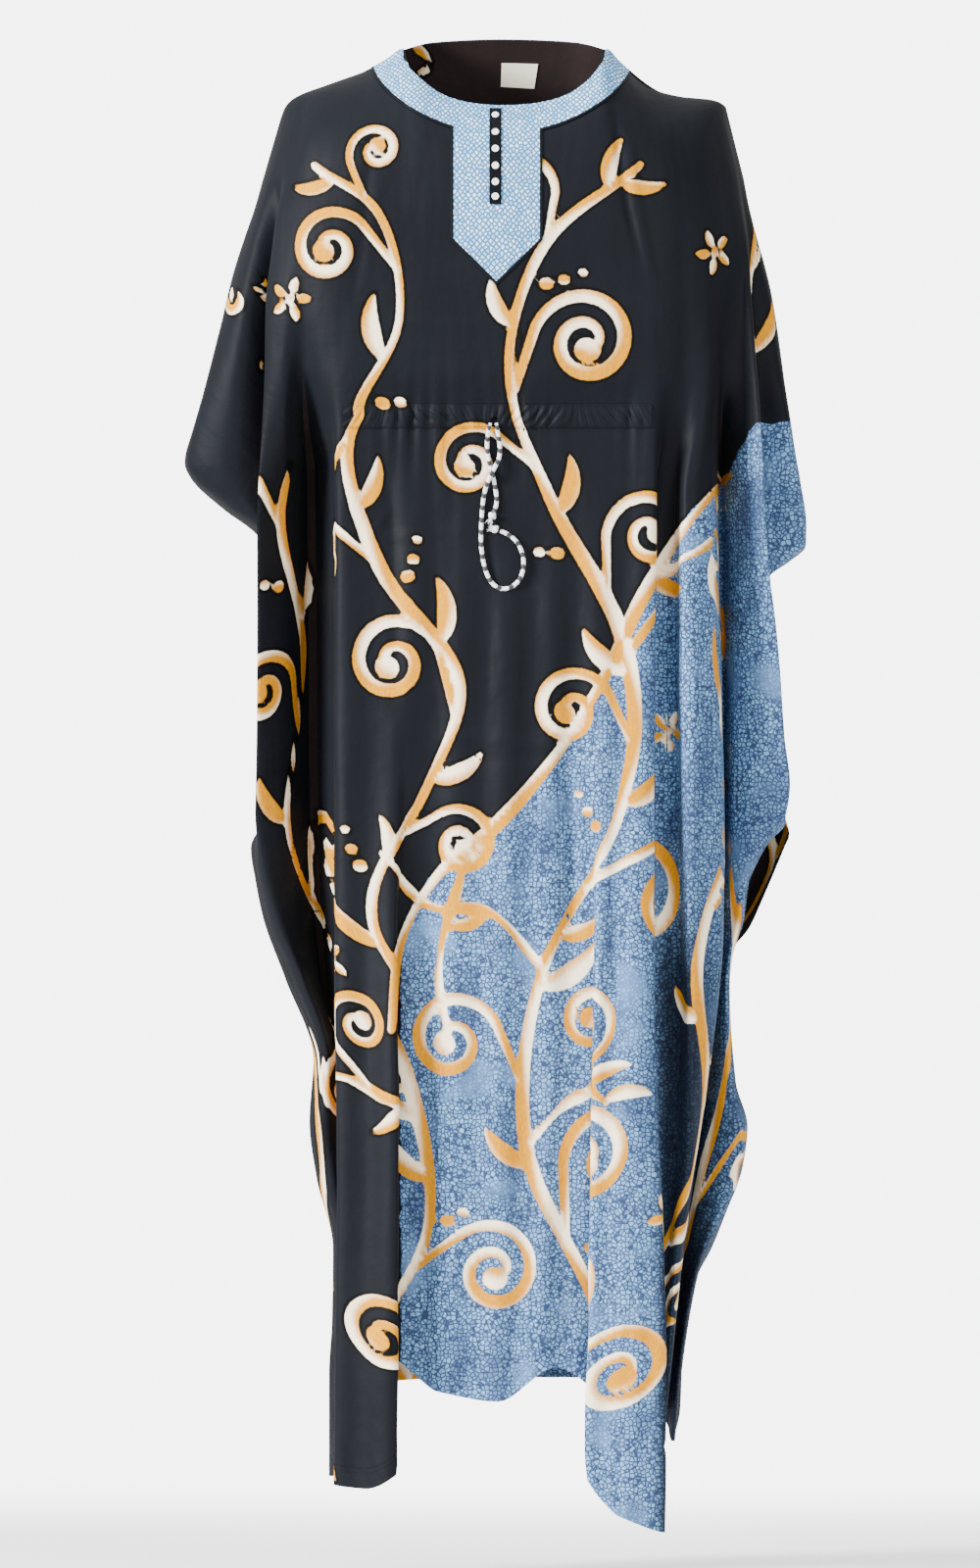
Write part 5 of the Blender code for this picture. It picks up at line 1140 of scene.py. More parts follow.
def blossom(centre, radius, petals, turn):
    """A small flower of petals round an eye."""
    strokes = [berry(centre, radius * 0.2)]
    for k in range(petals):
        heading = turn + 360 * k / petals
        base = (centre[0] + radius * 0.34 * math.cos(math.radians(heading)),
                centre[1] + radius * 0.34 * math.sin(math.radians(heading)))
        strokes.append(leaf(base, radius * 0.72, heading - 12, 40, radius * 0.42))
    return strokes


def gap_to(point, strokes):
    """Distance from a point to the nearest edge of some strokes."""
    return min(float((np.linalg.norm(points - point, axis=1) - halves).min()) for points, halves in strokes)


def has_room(point, radius, discs, strokes):
    """Whether a round motif fits between the scrolls and strokes laid so far."""
    free = all(np.linalg.norm(point - centre) > 0.92 * (radius + other) for centre, other in discs)
    return free and (not strokes or gap_to(point, strokes) > radius * 0.86)


def vine():
    """Every stroke of the print. A motif without room goes to its stem's other side, or is left out."""
    stems = [stem(knots, width) for knots, width in STEMS]
    strokes = list(stems)
    discs = [(np.array(centre, float), radius) for centre, radius in DEEP_FOLDS]
    for number, share, side, radius, turns, width in SCROLLS:
        others = stems[:number] + stems[number + 1:]
        for way in (side, -side):
            made, centre = scroll(stems[number], share, way, radius, turns, width)
            if has_room(centre, radius + width / 2, discs, others):
                strokes.append(made)
                discs.append((centre, radius + width / 2))
                break
    for number, share, side, length, width in LEAVES:
        others = stems[:number] + stems[number + 1:]
        for way in (side, -side):
            made = leaf_on(stems[number], share, way, length, width)
            line = made[0]
            if has_room(line[len(line) // 2], width * 0.4, discs, others) \
                    and has_room(line[-1], width * 0.3, discs, others):
                strokes.append(made)
                discs.append((line[len(line) * 2 // 3], width * 0.8))
                break
    for centre, radius, petals, turn in FLOWERS:
        if has_room(np.array(centre, float), radius, discs, stems):
            strokes += blossom(centre, radius, petals, turn)
            discs.append((np.array(centre, float), radius))
    for number, share, side, count in DOT_ROWS:
        strokes += [dot for dot in dots_on(stems[number], share, side, count)
                    if has_room(dot[0].mean(axis=0), DOT_ROOM, discs, stems)]
    return strokes


def signed_distance(places, corners):
    """Distance from a closed outline, less than zero inside it."""
    corners = np.array(corners, float)
    inside = np.zeros(len(places), bool)
    nearest = np.full(len(places), 1e9)
    for a, b in zip(corners, np.roll(corners, -1, axis=0)):
        side = b - a
        share = np.clip(((places - a) @ side) / (side @ side), 0, 1)
        nearest = np.minimum(nearest, np.linalg.norm(places - a - share[:, None] * side, axis=1))
        crosses = (a[1] > places[:, 1]) != (b[1] > places[:, 1])
        with np.errstate(divide="ignore", invalid="ignore"):
            meet = a[0] + (places[:, 1] - a[1]) * side[0] / side[1]
        inside ^= crosses & (places[:, 0] < meet)
    return np.where(inside, -nearest, nearest)


def stroke_field(places, strokes):
    """For each place, its distance from the nearest stroke's edge, and how gold the paint is."""
    distance = np.full(len(places), FAR)
    weights = np.full(len(places), 1e-9)
    strongest = np.full(len(places), 1e-9)
    golds = np.zeros(len(places))
    for number, (points, halves) in enumerate(strokes):
        margin = halves.max() + FAR
        low, high = points.min(axis=0) - margin, points.max(axis=0) + margin
        near = np.nonzero(np.all((places > low) & (places < high), axis=1))[0]
        if not len(near):
            continue
        run = travelled(points)
        best = np.full(len(near), FAR)
        shade = np.zeros(len(near))
        for i, (a, b) in enumerate(zip(points[:-1], points[1:])):
            side = b - a
            length = max(np.linalg.norm(side), 1e-6)
            away = places[near] - a
            share = np.clip((away @ side) / length ** 2, 0, 1)
            half = halves[i] + (halves[i + 1] - halves[i]) * share
            off = np.linalg.norm(away - share[:, None] * side, axis=1) - half
            lean = (away[:, 0] * side[1] - away[:, 1] * side[0]) / length / np.maximum(half, 1)
            drift = np.cos((run[i] + length * share) / GOLD_RUN + number * 2.4)
            closer = off < best
            best = np.where(closer, off, best)
            tint = 0.66 + 0.38 * np.tanh(1.5 * lean) * (-1) ** number + 0.34 * drift
            shade = np.where(closer, tint, shade)
        distance[near] = np.minimum(distance[near], best)
        weight = np.exp(-best / 1.6)
        weights[near] += weight
        strongest[near] = np.maximum(strongest[near], weight)
        golds[near] += weight * shade
    joined = np.clip(2 * (1 - strongest / weights), 0, 1)
    return distance, golds / weights * (1 - 0.45 * joined)


def front_print(flat, seen):
    """The printed colours of the front: stroke distance, gold and distance from the blue ground."""
    distance, gold = stroke_field(flat.reshape(-1, 2), VINE)
    border = [stem(knots, width) for knots, width in BORDER_STEMS]
    edge_distance, edge_gold = stroke_field(seen.reshape(-1, 2), border)
    share = 1 / (1 + np.exp(np.clip((edge_distance - distance) / 1.2, -30, 30)))
    gold = gold * (1 - share) + edge_gold * share
    ground = signed_distance(seen.reshape(-1, 2), BLUE_GROUND)
    return np.minimum(distance, edge_distance), gold, np.clip(ground, -GROUND_REACH, GROUND_REACH)


def back_print(flat, seen):
    """The print of the back: the same vine turned over and moved down."""
    strokes = VINE + [leaf(*row) for row in BACK_NECK_LEAVES]
    distance, gold = stroke_field(flat.reshape(-1, 2) * (-1, 1) + BACK_VINE_SHIFT, strokes)
    ground = signed_distance(seen.reshape(-1, 2), BACK_BLUE_GROUND)
    return distance, gold, np.clip(ground, -GROUND_REACH, GROUND_REACH)


def ink(red, green, blue):
    """A dye or paint colour from its usual 0 to 255 values."""
    shares = np.array((red, green, blue)) / 255
    linear = np.where(shares <= 0.04045, shares / 12.92, ((shares + 0.055) / 1.055) ** 2.4)
    return (*(float(value) for value in linear), 1.0)


def join(tree, value, socket):
    """Link a socket, or set it where the value is a number or a colour."""
    if isinstance(value, bpy.types.NodeSocket):
        tree.links.new(value, socket)
    else:
        socket.default_value = value


def add_node(tree, kind, settings=None, **inputs):
    """A node with its settings and inputs. An input goes by its name, or by its number after a _."""
    made = tree.nodes.new(kind)
    for name, value in (settings or {}).items():
        setattr(made, name, value)
    for name, value in inputs.items():
        join(tree, value, made.inputs[int(name[1:]) if name[1:].isdigit() else name])
    return made


class Finish:
    """A material, built node by node around one shader."""

    def __init__(self, name, **sockets):
        self.material = bpy.data.materials.new(name)
        self.material.use_nodes = True
        self.tree = self.material.node_tree
        self.shader = self.tree.nodes["Principled BSDF"]
        for socket, value in sockets.items():
            self.shader.inputs[socket.replace("_", " ").title().replace("Ior", "IOR")].default_value = value

    def node(self, kind, settings=None, **inputs):
        """A node of this material."""
        return add_node(self.tree, kind, settings, **inputs)

    def math(self, operation, *values):
        """One step of arithmetic."""
        return self.node("ShaderNodeMath", {"operation": operation},
                         **{f"_{i}": value for i, value in enumerate(values)}).outputs[0]

    def plus(self, first, second):
        """A sum."""
        return self.math("ADD", first, second)

    def times(self, first, second):
        """A product."""
        return self.math("MULTIPLY", first, second)

    def scaled(self, value, factor, offset):
        """A value times a factor, and an offset more."""
        return self.math("MULTIPLY_ADD", value, factor, offset)

    def vector(self, operation, first, second=(0, 0, 0)):
        """The outputs of one step of arithmetic on places."""
        return self.node("ShaderNodeVectorMath", {"operation": operation}, _0=first, _1=second).outputs

    def blend(self, share, first, second):
        """A mix of two colours, each a socket or a dye."""
        made = self.node("ShaderNodeMix", {"data_type": "RGBA"})
        for key, value in ((0, share), (6, first), (7, second)):
            join(self.tree, ink(*value) if isinstance(value, tuple) else value, made.inputs[key])
        return made.outputs[2]

    def rise(self, value, low, high):
        """Zero below low and one above high, with a soft step between."""
        return self.node("ShaderNodeMapRange", {"interpolation_type": "SMOOTHSTEP"},
                         _0=value, _1=low, _2=high).outputs[0]

    def mark(self, name):
        """A number kept at each point of the piece."""
        return self.node("ShaderNodeAttribute", {"attribute_name": name}).outputs["Fac"]

    def flat(self):
        """The place on the flat cloth, in metres."""
        return self.node("ShaderNodeUVMap", {"uv_map": "flat"}).outputs[0]

    def solid(self):
        """The place in the piece itself, in metres."""
        return self.node("ShaderNodeTexCoord").outputs["Object"]

    def noise(self, place, scale, detail=2.0, output=0):
        """Soft noise."""
        return self.node("ShaderNodeTexNoise", Vector=place, Scale=scale, Detail=detail).outputs[output]

    def stretched(self, place, across_scale, down_scale):
        """A place with its two ways across the cloth scaled apart."""
        return self.vector("MULTIPLY", place, (across_scale, down_scale, 1.0))[0]

    def shaken(self, place, scale, amount):
        """A place moved about by noise."""
        offset = self.vector("SUBTRACT", self.noise(place, scale, 2.0, 1), (0.5,) * 3)[0]
        return self.vector("ADD", place, self.vector("MULTIPLY", offset, (amount,) * 3)[0])[0]

    def pebbles(self, place, scale, shake, unevenness, ways):
        """Pebble cells: how far from the gaps between them, and a number for each."""
        moved = self.shaken(place, SHAKE_GRAIN, shake)
        edge, cell = (self.node("ShaderNodeTexVoronoi", {"feature": feature, "voronoi_dimensions": ways},
                                Vector=moved, Scale=scale, Randomness=unevenness).outputs[output]
                      for feature, output in (("DISTANCE_TO_EDGE", "Distance"), ("F1", "Color")))
        return edge, self.node("ShaderNodeSeparateColor", Color=cell).outputs[0]

    def weave(self, place, threads):
        """A plain weave: threads to the metre, as a height from zero to one."""
        warp, weft = (self.node("ShaderNodeTexWave", {"bands_direction": way},
                                Vector=self.stretched(place, threads * over, threads * down),
                                Scale=0.16, Distortion=0.6, Detail=1.0).outputs["Fac"]
                      for way, over, down in (("X", 1, 0.1), ("Y", 0.1, 1)))
        return self.times(self.plus(warp, weft), 0.5)

    def finish(self, colour, height, strength, depth, roughness):
        """Join the colour, relief and roughness to the shader."""
        bump = self.node("ShaderNodeBump", Height=height, Strength=strength, Distance=depth)
        for value, socket in ((colour, "Base Color"), (bump.outputs[0], "Normal"), (roughness, "Roughness")):
            join(self.tree, value, self.shader.inputs[socket])
        return self.material


def cloth_relief(cloth, place):
    """The relief of thin printed cloth: its weave, and soft crumples of two sizes."""
    crumple = cloth.noise(place, CRUMPLE_GRAIN, 3.0)
    long_folds = cloth.noise(cloth.stretched(place, *LONG_FOLD_GRAIN), 1.0)
    soft = cloth.plus(cloth.times(crumple, 4.0), cloth.times(long_folds, 7.0))
    return cloth.plus(cloth.times(cloth.weave(place, CLOTH_THREADS), 0.16), soft)


def printed_cloth(name, strength, blacks):
    """The scroll print on its two grounds, with painted shade on the blue: fold shadows in streaks and the
    shadowed lower right wing. Strength is less than one on the cloth's reverse.
    """
    cloth = Finish(name, sheen_weight=0.015, sheen_roughness=0.5, specular_ior_level=0.08)
    place = cloth.flat()
    stroke = cloth.plus(cloth.mark("stroke"), cloth.scaled(cloth.noise(place, STROKE_GRAIN), 1.2, -0.6))
    ground = cloth.plus(cloth.mark("ground"), cloth.scaled(cloth.noise(place, GROUND_GRAIN), 8.0, -4.0))
    cloudy = cloth.noise(place, CLOUD_GRAIN, 3.0)
    black = cloth.blend(cloth.rise(stroke, *HALO_STEP), HALO, cloth.blend(cloudy, *blacks))

    edge, number = cloth.pebbles(cloth.solid(), PEBBLES, *PEBBLE_SHAPE)
    pebble = cloth.blend(number, PEBBLE_DARK, PEBBLE_LIGHT)
    blue = cloth.blend(cloth.rise(edge, *PEBBLE_STEP), PEBBLE_GAP, pebble)
    plain = cloth.rise(cloth.noise(place, PLAIN_GRAIN), *PLAIN_STEP)
    fold_shadow = cloth.rise(cloth.noise(cloth.stretched(place, *FOLD_SHADOW_GRAIN), 1.0, 3.0), *FOLD_SHADOW_STEP)
    # The plain and cloudy patches are the print's own tone; the other two are painted shade: long dark
    # streaks for the shadows of folds, and the shadowed lower right wing
    for patch, most, dye in ((plain, 0.7, PLAIN_BLUE), (fold_shadow, 0.62, FOLD_SHADOW_BLUE),
                             (cloudy, 0.2, PEBBLE_GAP), (cloth.mark("painted_shade"), 0.93, PAINTED_SHADE)):
        blue = cloth.blend(cloth.times(patch, most), blue, dye)

    base = cloth.blend(cloth.rise(ground, *GROUND_STEP), blue, black)
    brush = cloth.noise(cloth.stretched(place, *BRUSH_GRAIN), 1.0, 3.0)
    white = cloth.blend(brush, PAINT_SHADE, PAINT_WHITE)
    yellow = cloth.blend(brush, GOLD_DEEP, GOLD_LIGHT)
    gold = cloth.rise(cloth.plus(cloth.mark("gold"), cloth.scaled(brush, 0.4, -0.2)), *GOLD_STEP)
    painted = cloth.math("SUBTRACT", 1.0, cloth.rise(stroke, *PAINT_STEP))
    colour = cloth.blend(painted, base, cloth.blend(gold, white, yellow))
    if strength < 1:
        colour = cloth.blend(1 - strength, colour, REVERSE)
    return cloth.finish(colour, cloth_relief(cloth, place), 0.5, 0.0006, cloth.scaled(cloudy, 0.16, 0.52))


def band_cloth(name, side):
    """The blue of the neck band and yoke: rows of pale dots, on the slant, on a mid blue."""
    cloth = Finish(name, sheen_weight=0.05, sheen_roughness=0.5, specular_ior_level=0.15)
    place = cloth.solid()
    over, down = DOT_SLANT
    first, second = (cloth.vector("DOT_PRODUCT", place, (over, -side * turn * DOT_DEPTH, turn))["Value"]
                     for turn in (-down, down))
    slanted = cloth.node("ShaderNodeCombineXYZ", X=first, Y=second).outputs[0]
    edge, number = cloth.pebbles(slanted, BAND_PEBBLES, *DOT_SHAPE)
    dots = cloth.blend(number, DOT_BLUE, DOT_WHITE)
    colour = cloth.blend(cloth.rise(edge, *DOT_STEP), BAND_BLUE, dots)
    cloudy = cloth.noise(place, 25, 3.0)
    colour = cloth.blend(cloth.times(cloudy, 0.3), colour, BAND_BLUE)
    return cloth.finish(colour, cloth_relief(cloth, place), 0.4, 0.0005, cloth.scaled(cloudy, 0.2, 0.55))


def dark_cloth(name, dyes):
    """Plain dark cloth: piping, placket and the reverse of the trims."""
    cloth = Finish(name, sheen_weight=0.01, sheen_roughness=0.45, specular_ior_level=0.07)
    place = cloth.flat()
    cloudy = cloth.noise(place, 60, 3.0)
    ribs = cloth.weave(place, DARK_THREADS)
    colour = cloth.blend(cloth.scaled(ribs, 0.5, cloth.times(cloudy, 0.5)), *dyes)
    return cloth.finish(colour, ribs, 0.35, 0.0002, cloth.scaled(cloudy, 0.2, 0.5))


def thread(name, dyes, sheen=0.2):
    """Sewing thread with its twist."""
    yarn = Finish(name, sheen_weight=sheen, sheen_roughness=0.4, specular_ior_level=sheen)
    twist = yarn.noise(yarn.solid(), 900)
    return yarn.finish(yarn.blend(twist, *dyes), twist, 0.4, 0.0001, yarn.scaled(twist, 0.2, 0.5))


def cord_finish():
    """White cord with dark yarn twisted through it."""
    yarn = Finish("drawstring_yarn", sheen_weight=0.3, sheen_roughness=0.5)
    fibres = yarn.noise(yarn.solid(), 1100, 3.0)
    dark = yarn.rise(yarn.plus(yarn.mark("stripe"), yarn.scaled(fibres, 0.5, -0.25)), 0.16, 0.4)
    colour = yarn.blend(dark, yarn.blend(fibres, *CORD_WHITES), CORD_DARK)
    height = yarn.plus(yarn.times(yarn.mark("ply"), 0.5), fibres)
    return yarn.finish(colour, height, 0.6, 0.0003, yarn.scaled(fibres, 0.2, 0.6))


def button_finish():
    """White plastic with a faint cloud and fine scuffs."""
    plastic = Finish("button_white", coat_weight=0.25, coat_roughness=0.2)
    place = plastic.solid()
    scuff = plastic.noise(place, 2600, 3.0)
    colour = plastic.blend(plastic.noise(place, 420), *BUTTON_WHITES)
    return plastic.finish(colour, scuff, 0.12, 0.00008, plastic.scaled(scuff, 0.2, 0.22))


def label_finish():
    """Off-white woven ribbon."""
    ribbon = Finish("label_ribbon", sheen_weight=0.2, sheen_roughness=0.4)
    place = ribbon.flat()
    weave = ribbon.weave(place, RIBBON_THREADS)
    share = ribbon.scaled(weave, 0.4, ribbon.times(ribbon.noise(place, 120), 0.5))
    return ribbon.finish(ribbon.blend(share, *RIBBON_WHITES), weave, 0.4, 0.00015,
                         ribbon.scaled(weave, 0.2, 0.45))


def floor_finish():
    """Pale studio floor that fades out well away from the kaftan."""
    floor = Finish("floor_pale", base_color=(0.86, 0.86, 0.86, 1), roughness=0.9)
    away = floor.vector("LENGTH", floor.solid())["Value"]
    clear = floor.node("ShaderNodeBsdfTransparent").outputs[0]
    mixed = floor.node("ShaderNodeMixShader", _0=floor.rise(away, *FLOOR_FADE), _1=floor.shader.outputs[0],
                       _2=clear).outputs[0]
    join(floor.tree, mixed, floor.tree.nodes["Material Output"].inputs["Surface"])
    return floor.material


def make_finishes():
    """Every finish of the kaftan, by name."""
    return {
        "print": printed_cloth("scroll_print_and_shade", 1.0, (BLACK_DEEP, BLACK_SOFT)),
        "print_reverse": printed_cloth("scroll_print_reverse", 0.8, (REVERSE, REVERSE)),
        "band_dots": band_cloth("band_blue_dots", -1),
        "band_dots_behind": band_cloth("band_blue_dots_behind", 1),
        "piping": dark_cloth("piping_black", PIPING_BLACKS),
        "placket": dark_cloth("placket_black", PLACKET_BLACKS),
        "reverse_dark": dark_cloth("reverse_dark", REVERSE_DARKS),
        "dark_thread": thread("dark_thread", DARK_THREAD, 0.02),
        "blue_thread": thread("blue_thread", BLUE_THREAD),
        "white_thread": thread("white_thread", WHITE_THREAD),
        "button": button_finish(),
        "button_hole": thread("button_holes", HOLE_DARKS),
        "cord": cord_finish(),
        "knot_yarn": thread("knot_yarn", KNOT_YARN),
        "label": label_finish(),
    }


def put(name, data):
    """An object of the scene that shows a mesh, a light or the camera."""
    made = bpy.data.objects.new(name, data)
    bpy.context.scene.collection.objects.link(made)
    return made


def add_piece(name, points, faces, finishes, choice=None, flat=None, marks=None):
    """A piece of the kaftan in the scene, with its places on the flat cloth and its marks."""
    data = bpy.data.meshes.new(name)
    data.from_pydata(np.asarray(points).tolist(), [], faces)
    mesh = bmesh.new()
    mesh.from_mesh(data)
    bmesh.ops.recalc_face_normals(mesh, faces=mesh.faces)
    mesh.to_mesh(data)
    mesh.free()
    for finish in finishes:
        data.materials.append(FINISH[finish])
    if choice is not None:
        data.polygons.foreach_set("material_index", np.asarray(choice, np.int32))
    if flat is not None:
        corners = np.empty(len(data.loops), np.int32)
        data.loops.foreach_get("vertex_index", corners)
        layer = data.uv_layers.new(name="flat")
        layer.data.foreach_set("uv", (np.asarray(flat)[corners] * MM).ravel())
    for label, values in (marks or {}).items():
        kept = data.attributes.new(label, "FLOAT", "POINT")
        kept.data.foreach_set("value", np.asarray(values, np.float32))
    data.shade_smooth()
    data.set_sharp_from_angle(angle=math.radians(SHARP_ANGLE))
    return put(name, data)


def quads(index, cells):
    """The four corners of each cell in a grid of point numbers."""
    return [(index[r, c], index[r + 1, c], index[r + 1, c + 1], index[r, c + 1])
            for r, c in zip(*np.nonzero(cells))]


def shell(name, grid, normals, thickness, finishes, flat, marks=None, cells=None, coarse=1):
    """A closed thin wall of cloth round a grid: its face, its reverse (coarser) and its rim."""
    rows, columns = grid.shape[:2]
    if cells is None:
        cells = np.ones((rows - 1, columns - 1), bool)
    outer = np.arange(rows * columns).reshape(rows, columns)
    inner = outer[::coarse, ::coarse]
    inner = outer.size + np.arange(inner.size).reshape(inner.shape)

    face = quads(outer, cells)
    reverse = [(a, d, c, b) for a, b, c, d in quads(inner, cells[::coarse, ::coarse])]
    inside = np.pad(cells, 1)
    rim = []
    for r, c in zip(*np.nonzero(cells)):
        for dr, dc, start in ((-1, 0, (r, c)), (1, 0, (r + 1, c)), (0, -1, (r, c)), (0, 1, (r, c + 1))):
            if not inside[r + 1 + dr, c + 1 + dc] and start[abs(dr)] % coarse == 0:
                run = [(start[0] + i * abs(dc), start[1] + i * abs(dr)) for i in range(coarse + 1)]
                first, last = (inner[row // coarse, column // coarse] for row, column in (run[0], run[-1]))
                rim.append((*(outer[place] for place in run), last, first))
    faces = face + reverse + rim
    choice = [0] * len(face) + [1] * len(reverse) + [2] * len(rim)

    used = np.zeros(outer.size + inner.size, bool)
    used[[i for corners in faces for i in corners]] = True
    renumber = np.cumsum(used) - 1
    faces = [tuple(int(renumber[i]) for i in corners) for corners in faces]

    def both(values, behind=None):
        """Values of the face's points, then of the reverse's."""
        values = values.reshape(rows, columns, -1)
        behind = values if behind is None else behind
        return np.concatenate([part.reshape(-1, values.shape[-1])
                               for part in (values, behind[::coarse, ::coarse])])[used].squeeze()

    half = thickness / 2 * MM
    points = both(grid + normals * half, grid - normals * half)
    labelled = {label: both(values) for label, values in (marks or {}).items()}
    return add_piece(name, points, faces, finishes, choice, both(flat), labelled)


def hung_cloth(name, cloth, print_of):
    """A panel of printed cloth, its face printed and its reverse paler."""
    seen = np.stack([cloth.grid[..., 0], -cloth.grid[..., 2]], axis=-1) / MM
    stroke, gold, ground = print_of(cloth.flat, seen)
    slip, fall = np.gradient(cloth.flat[..., 0], axis=0), np.gradient(cloth.flat[..., 1], axis=0)
    skew = np.abs(slip) / np.maximum(fall, 1)
    stroke = stroke + FADED * ease(*SKEW_FADE, skew.ravel())
    x, drop = seen[..., 0], seen[..., 1]
    # Painted shade: the front's lower right wing is darkened where it lies in shadow, less towards its outer
    # edge
    painted_shade = ease(*PAINTED_SHADE_FROM_X, x) * ease(*PAINTED_SHADE_FROM_DROP, drop) * (1 - PAINTED_SHADE_LOSS * ease(*PAINTED_SHADE_LOSS_X, x))
    marks = {"stroke": stroke, "gold": gold, "ground": ground, "painted_shade": (painted_shade * (cloth.side < 0)).ravel()}
    finishes = ("print", "print_reverse", "print")
    return shell(name, cloth.grid, cloth.normals, CLOTH, finishes, cloth.flat, marks, coarse=2)


def sample(values, rows, columns):
    """Values of a grid at places between its rows and columns."""
    rows = np.clip(rows, 0, values.shape[0] - 1)
    columns = np.clip(columns, 0, values.shape[1] - 1)
    r = np.minimum(rows.astype(int), values.shape[0] - 2)
    c = np.minimum(columns.astype(int), values.shape[1] - 2)
    v, u = (rows - r)[..., None], (columns - c)[..., None]
    upper = values[r, c] * (1 - u) + values[r, c + 1] * u
    lower = values[r + 1, c] * (1 - u) + values[r + 1, c + 1] * u
    return upper * (1 - v) + lower * v


def row_at(drop):
    """The row, between rows, that lies at a drop below the chest."""
    return ROUND_ROWS + (np.asarray(drop, float) - CHEST) / ROW_STEP


def column_at(cloth, drop, x):
    """The column, between columns, at x on the middle of the front."""
    row = cloth.grid[int(round(float(row_at(drop))))]
    first, last = (int(round(column)) for column in cloth.inner)
    return first + np.interp(x, row[first:last + 1, 0] / MM, np.arange(last - first + 1))


def casing_grid(cloth):
    """The tunnel of the drawstring: rows and columns of the panel, puckered unevenly."""
    rows, xs = np.linspace(*CASING_DROPS, CASING_ROWS), np.linspace(*CASING_X, CASING_COLUMNS)
    r, c = np.meshgrid(row_at(rows), column_at(cloth, CASING_MIDDLE, xs), indexing="ij")
    grid, normals, flat = (sample(values, r, c) for values in (cloth.grid, cloth.normals, cloth.flat))
    drops, x = np.meshgrid(rows, xs, indexing="ij")
    share = (drops - CASING_DROPS[0]) / (CASING_DROPS[1] - CASING_DROPS[0])
    tunnel = np.sin(math.pi * np.clip(share, 0, 1)) ** 0.7
    slant = x + 0.9 * np.sin(x / 29 + 0.6) * (drops - CASING_MIDDLE)
    slant = slant + 5 * np.sin(x / 19) + 2.6 * np.sin(x / 7.3)
    pucker = 0.5 + 0.5 * np.sin(math.tau * slant / CASING_PUCKER + 1.2 * np.sin(x / 43))
    small_turn = math.tau * slant / (CASING_PUCKER * 0.43) + 2.1 * np.sin(x / 27 + drops / 9)
    size = 0.55 + 0.45 * np.sin(x / 61 + 1) * np.sin(x / 23)
    puffed = 0.7 + CASING_RISE * size * pucker ** 0.7 + 0.8 * (0.5 + 0.5 * np.sin(small_turn))
    lift = BAND_HEIGHT + tunnel * puffed
    return grid + normals * lift[..., None] * MM, unit(normals), flat, np.stack([x, drops], axis=-1)


def lathe(name, profile, segments, centre, axis, finishes):
    """A turned piece: a profile (radius, height) spun round an axis, in millimetres."""
    turn = Vector((0, 0, 1)).rotation_difference(Vector(axis)).to_matrix()
    points, faces, rings = [], [], []
    for radius, height in profile:
        sides = segments if radius else 1
        rings.append([len(points) + i % sides for i in range(segments)])
        points += [Vector((radius * math.cos(math.tau * i / segments),
                           radius * math.sin(math.tau * i / segments), height)) for i in range(sides)]
    for upper, lower in zip(rings, rings[1:]):
        for i in range(segments):
            j = (i + 1) % segments
            faces.append(tuple(dict.fromkeys((upper[i], lower[i], lower[j], upper[j]))))
    return add_piece(name, [np.array(turn @ point) * MM + centre for point in points], faces, finishes)


def resample(points, step):
    """Points even steps apart on a smooth curve through the given points."""
    dense = rounded_line(points, 10)
    run = travelled(dense)
    places = np.linspace(0, run[-1], max(2, round(run[-1] / step) + 1))
    return np.stack([np.interp(places, run, dense[:, k]) for k in range(3)], axis=-1)


def tube(points, radii, sides, bumps=None):
    """Points and faces of a closed tube along a path, and flat places (along, around)."""
    tangents = unit(np.gradient(points, axis=0))
    side = unit(np.cross(tangents[0], (0.3, -1.0, 0.2)))
    rings, flat = [], []
    run = travelled(points) / MM
    for i, point in enumerate(points):
        side = unit(side - tangents[i] * (side @ tangents[i]))
        up = np.cross(tangents[i], side)
        for k in range(sides):
            turn = math.tau * k / sides
            radius = radii[i] * (1 + (bumps(run[i], turn) if bumps else 0))
            rings.append(point + (side * math.cos(turn) + up * math.sin(turn)) * radius)
            flat.append((run[i], turn / math.tau))
    faces = [(i + k, i + (k + 1) % sides, i + sides + (k + 1) % sides, i + sides + k)
             for i in range(0, len(rings) - sides, sides) for k in range(sides)]
    faces += [tuple(range(sides))[::-1], tuple(range(len(rings) - sides, len(rings)))]
    return np.array(rings), faces, np.array(flat)


def joined(tubes):
    """The points and faces of several tubes as one."""
    points, faces, start = [], [], 0
    for rings, sides, _ in tubes:
        points.append(rings)
        faces += [tuple(i + start for i in face) for face in sides]
        start += len(rings)
    return np.concatenate(points), faces


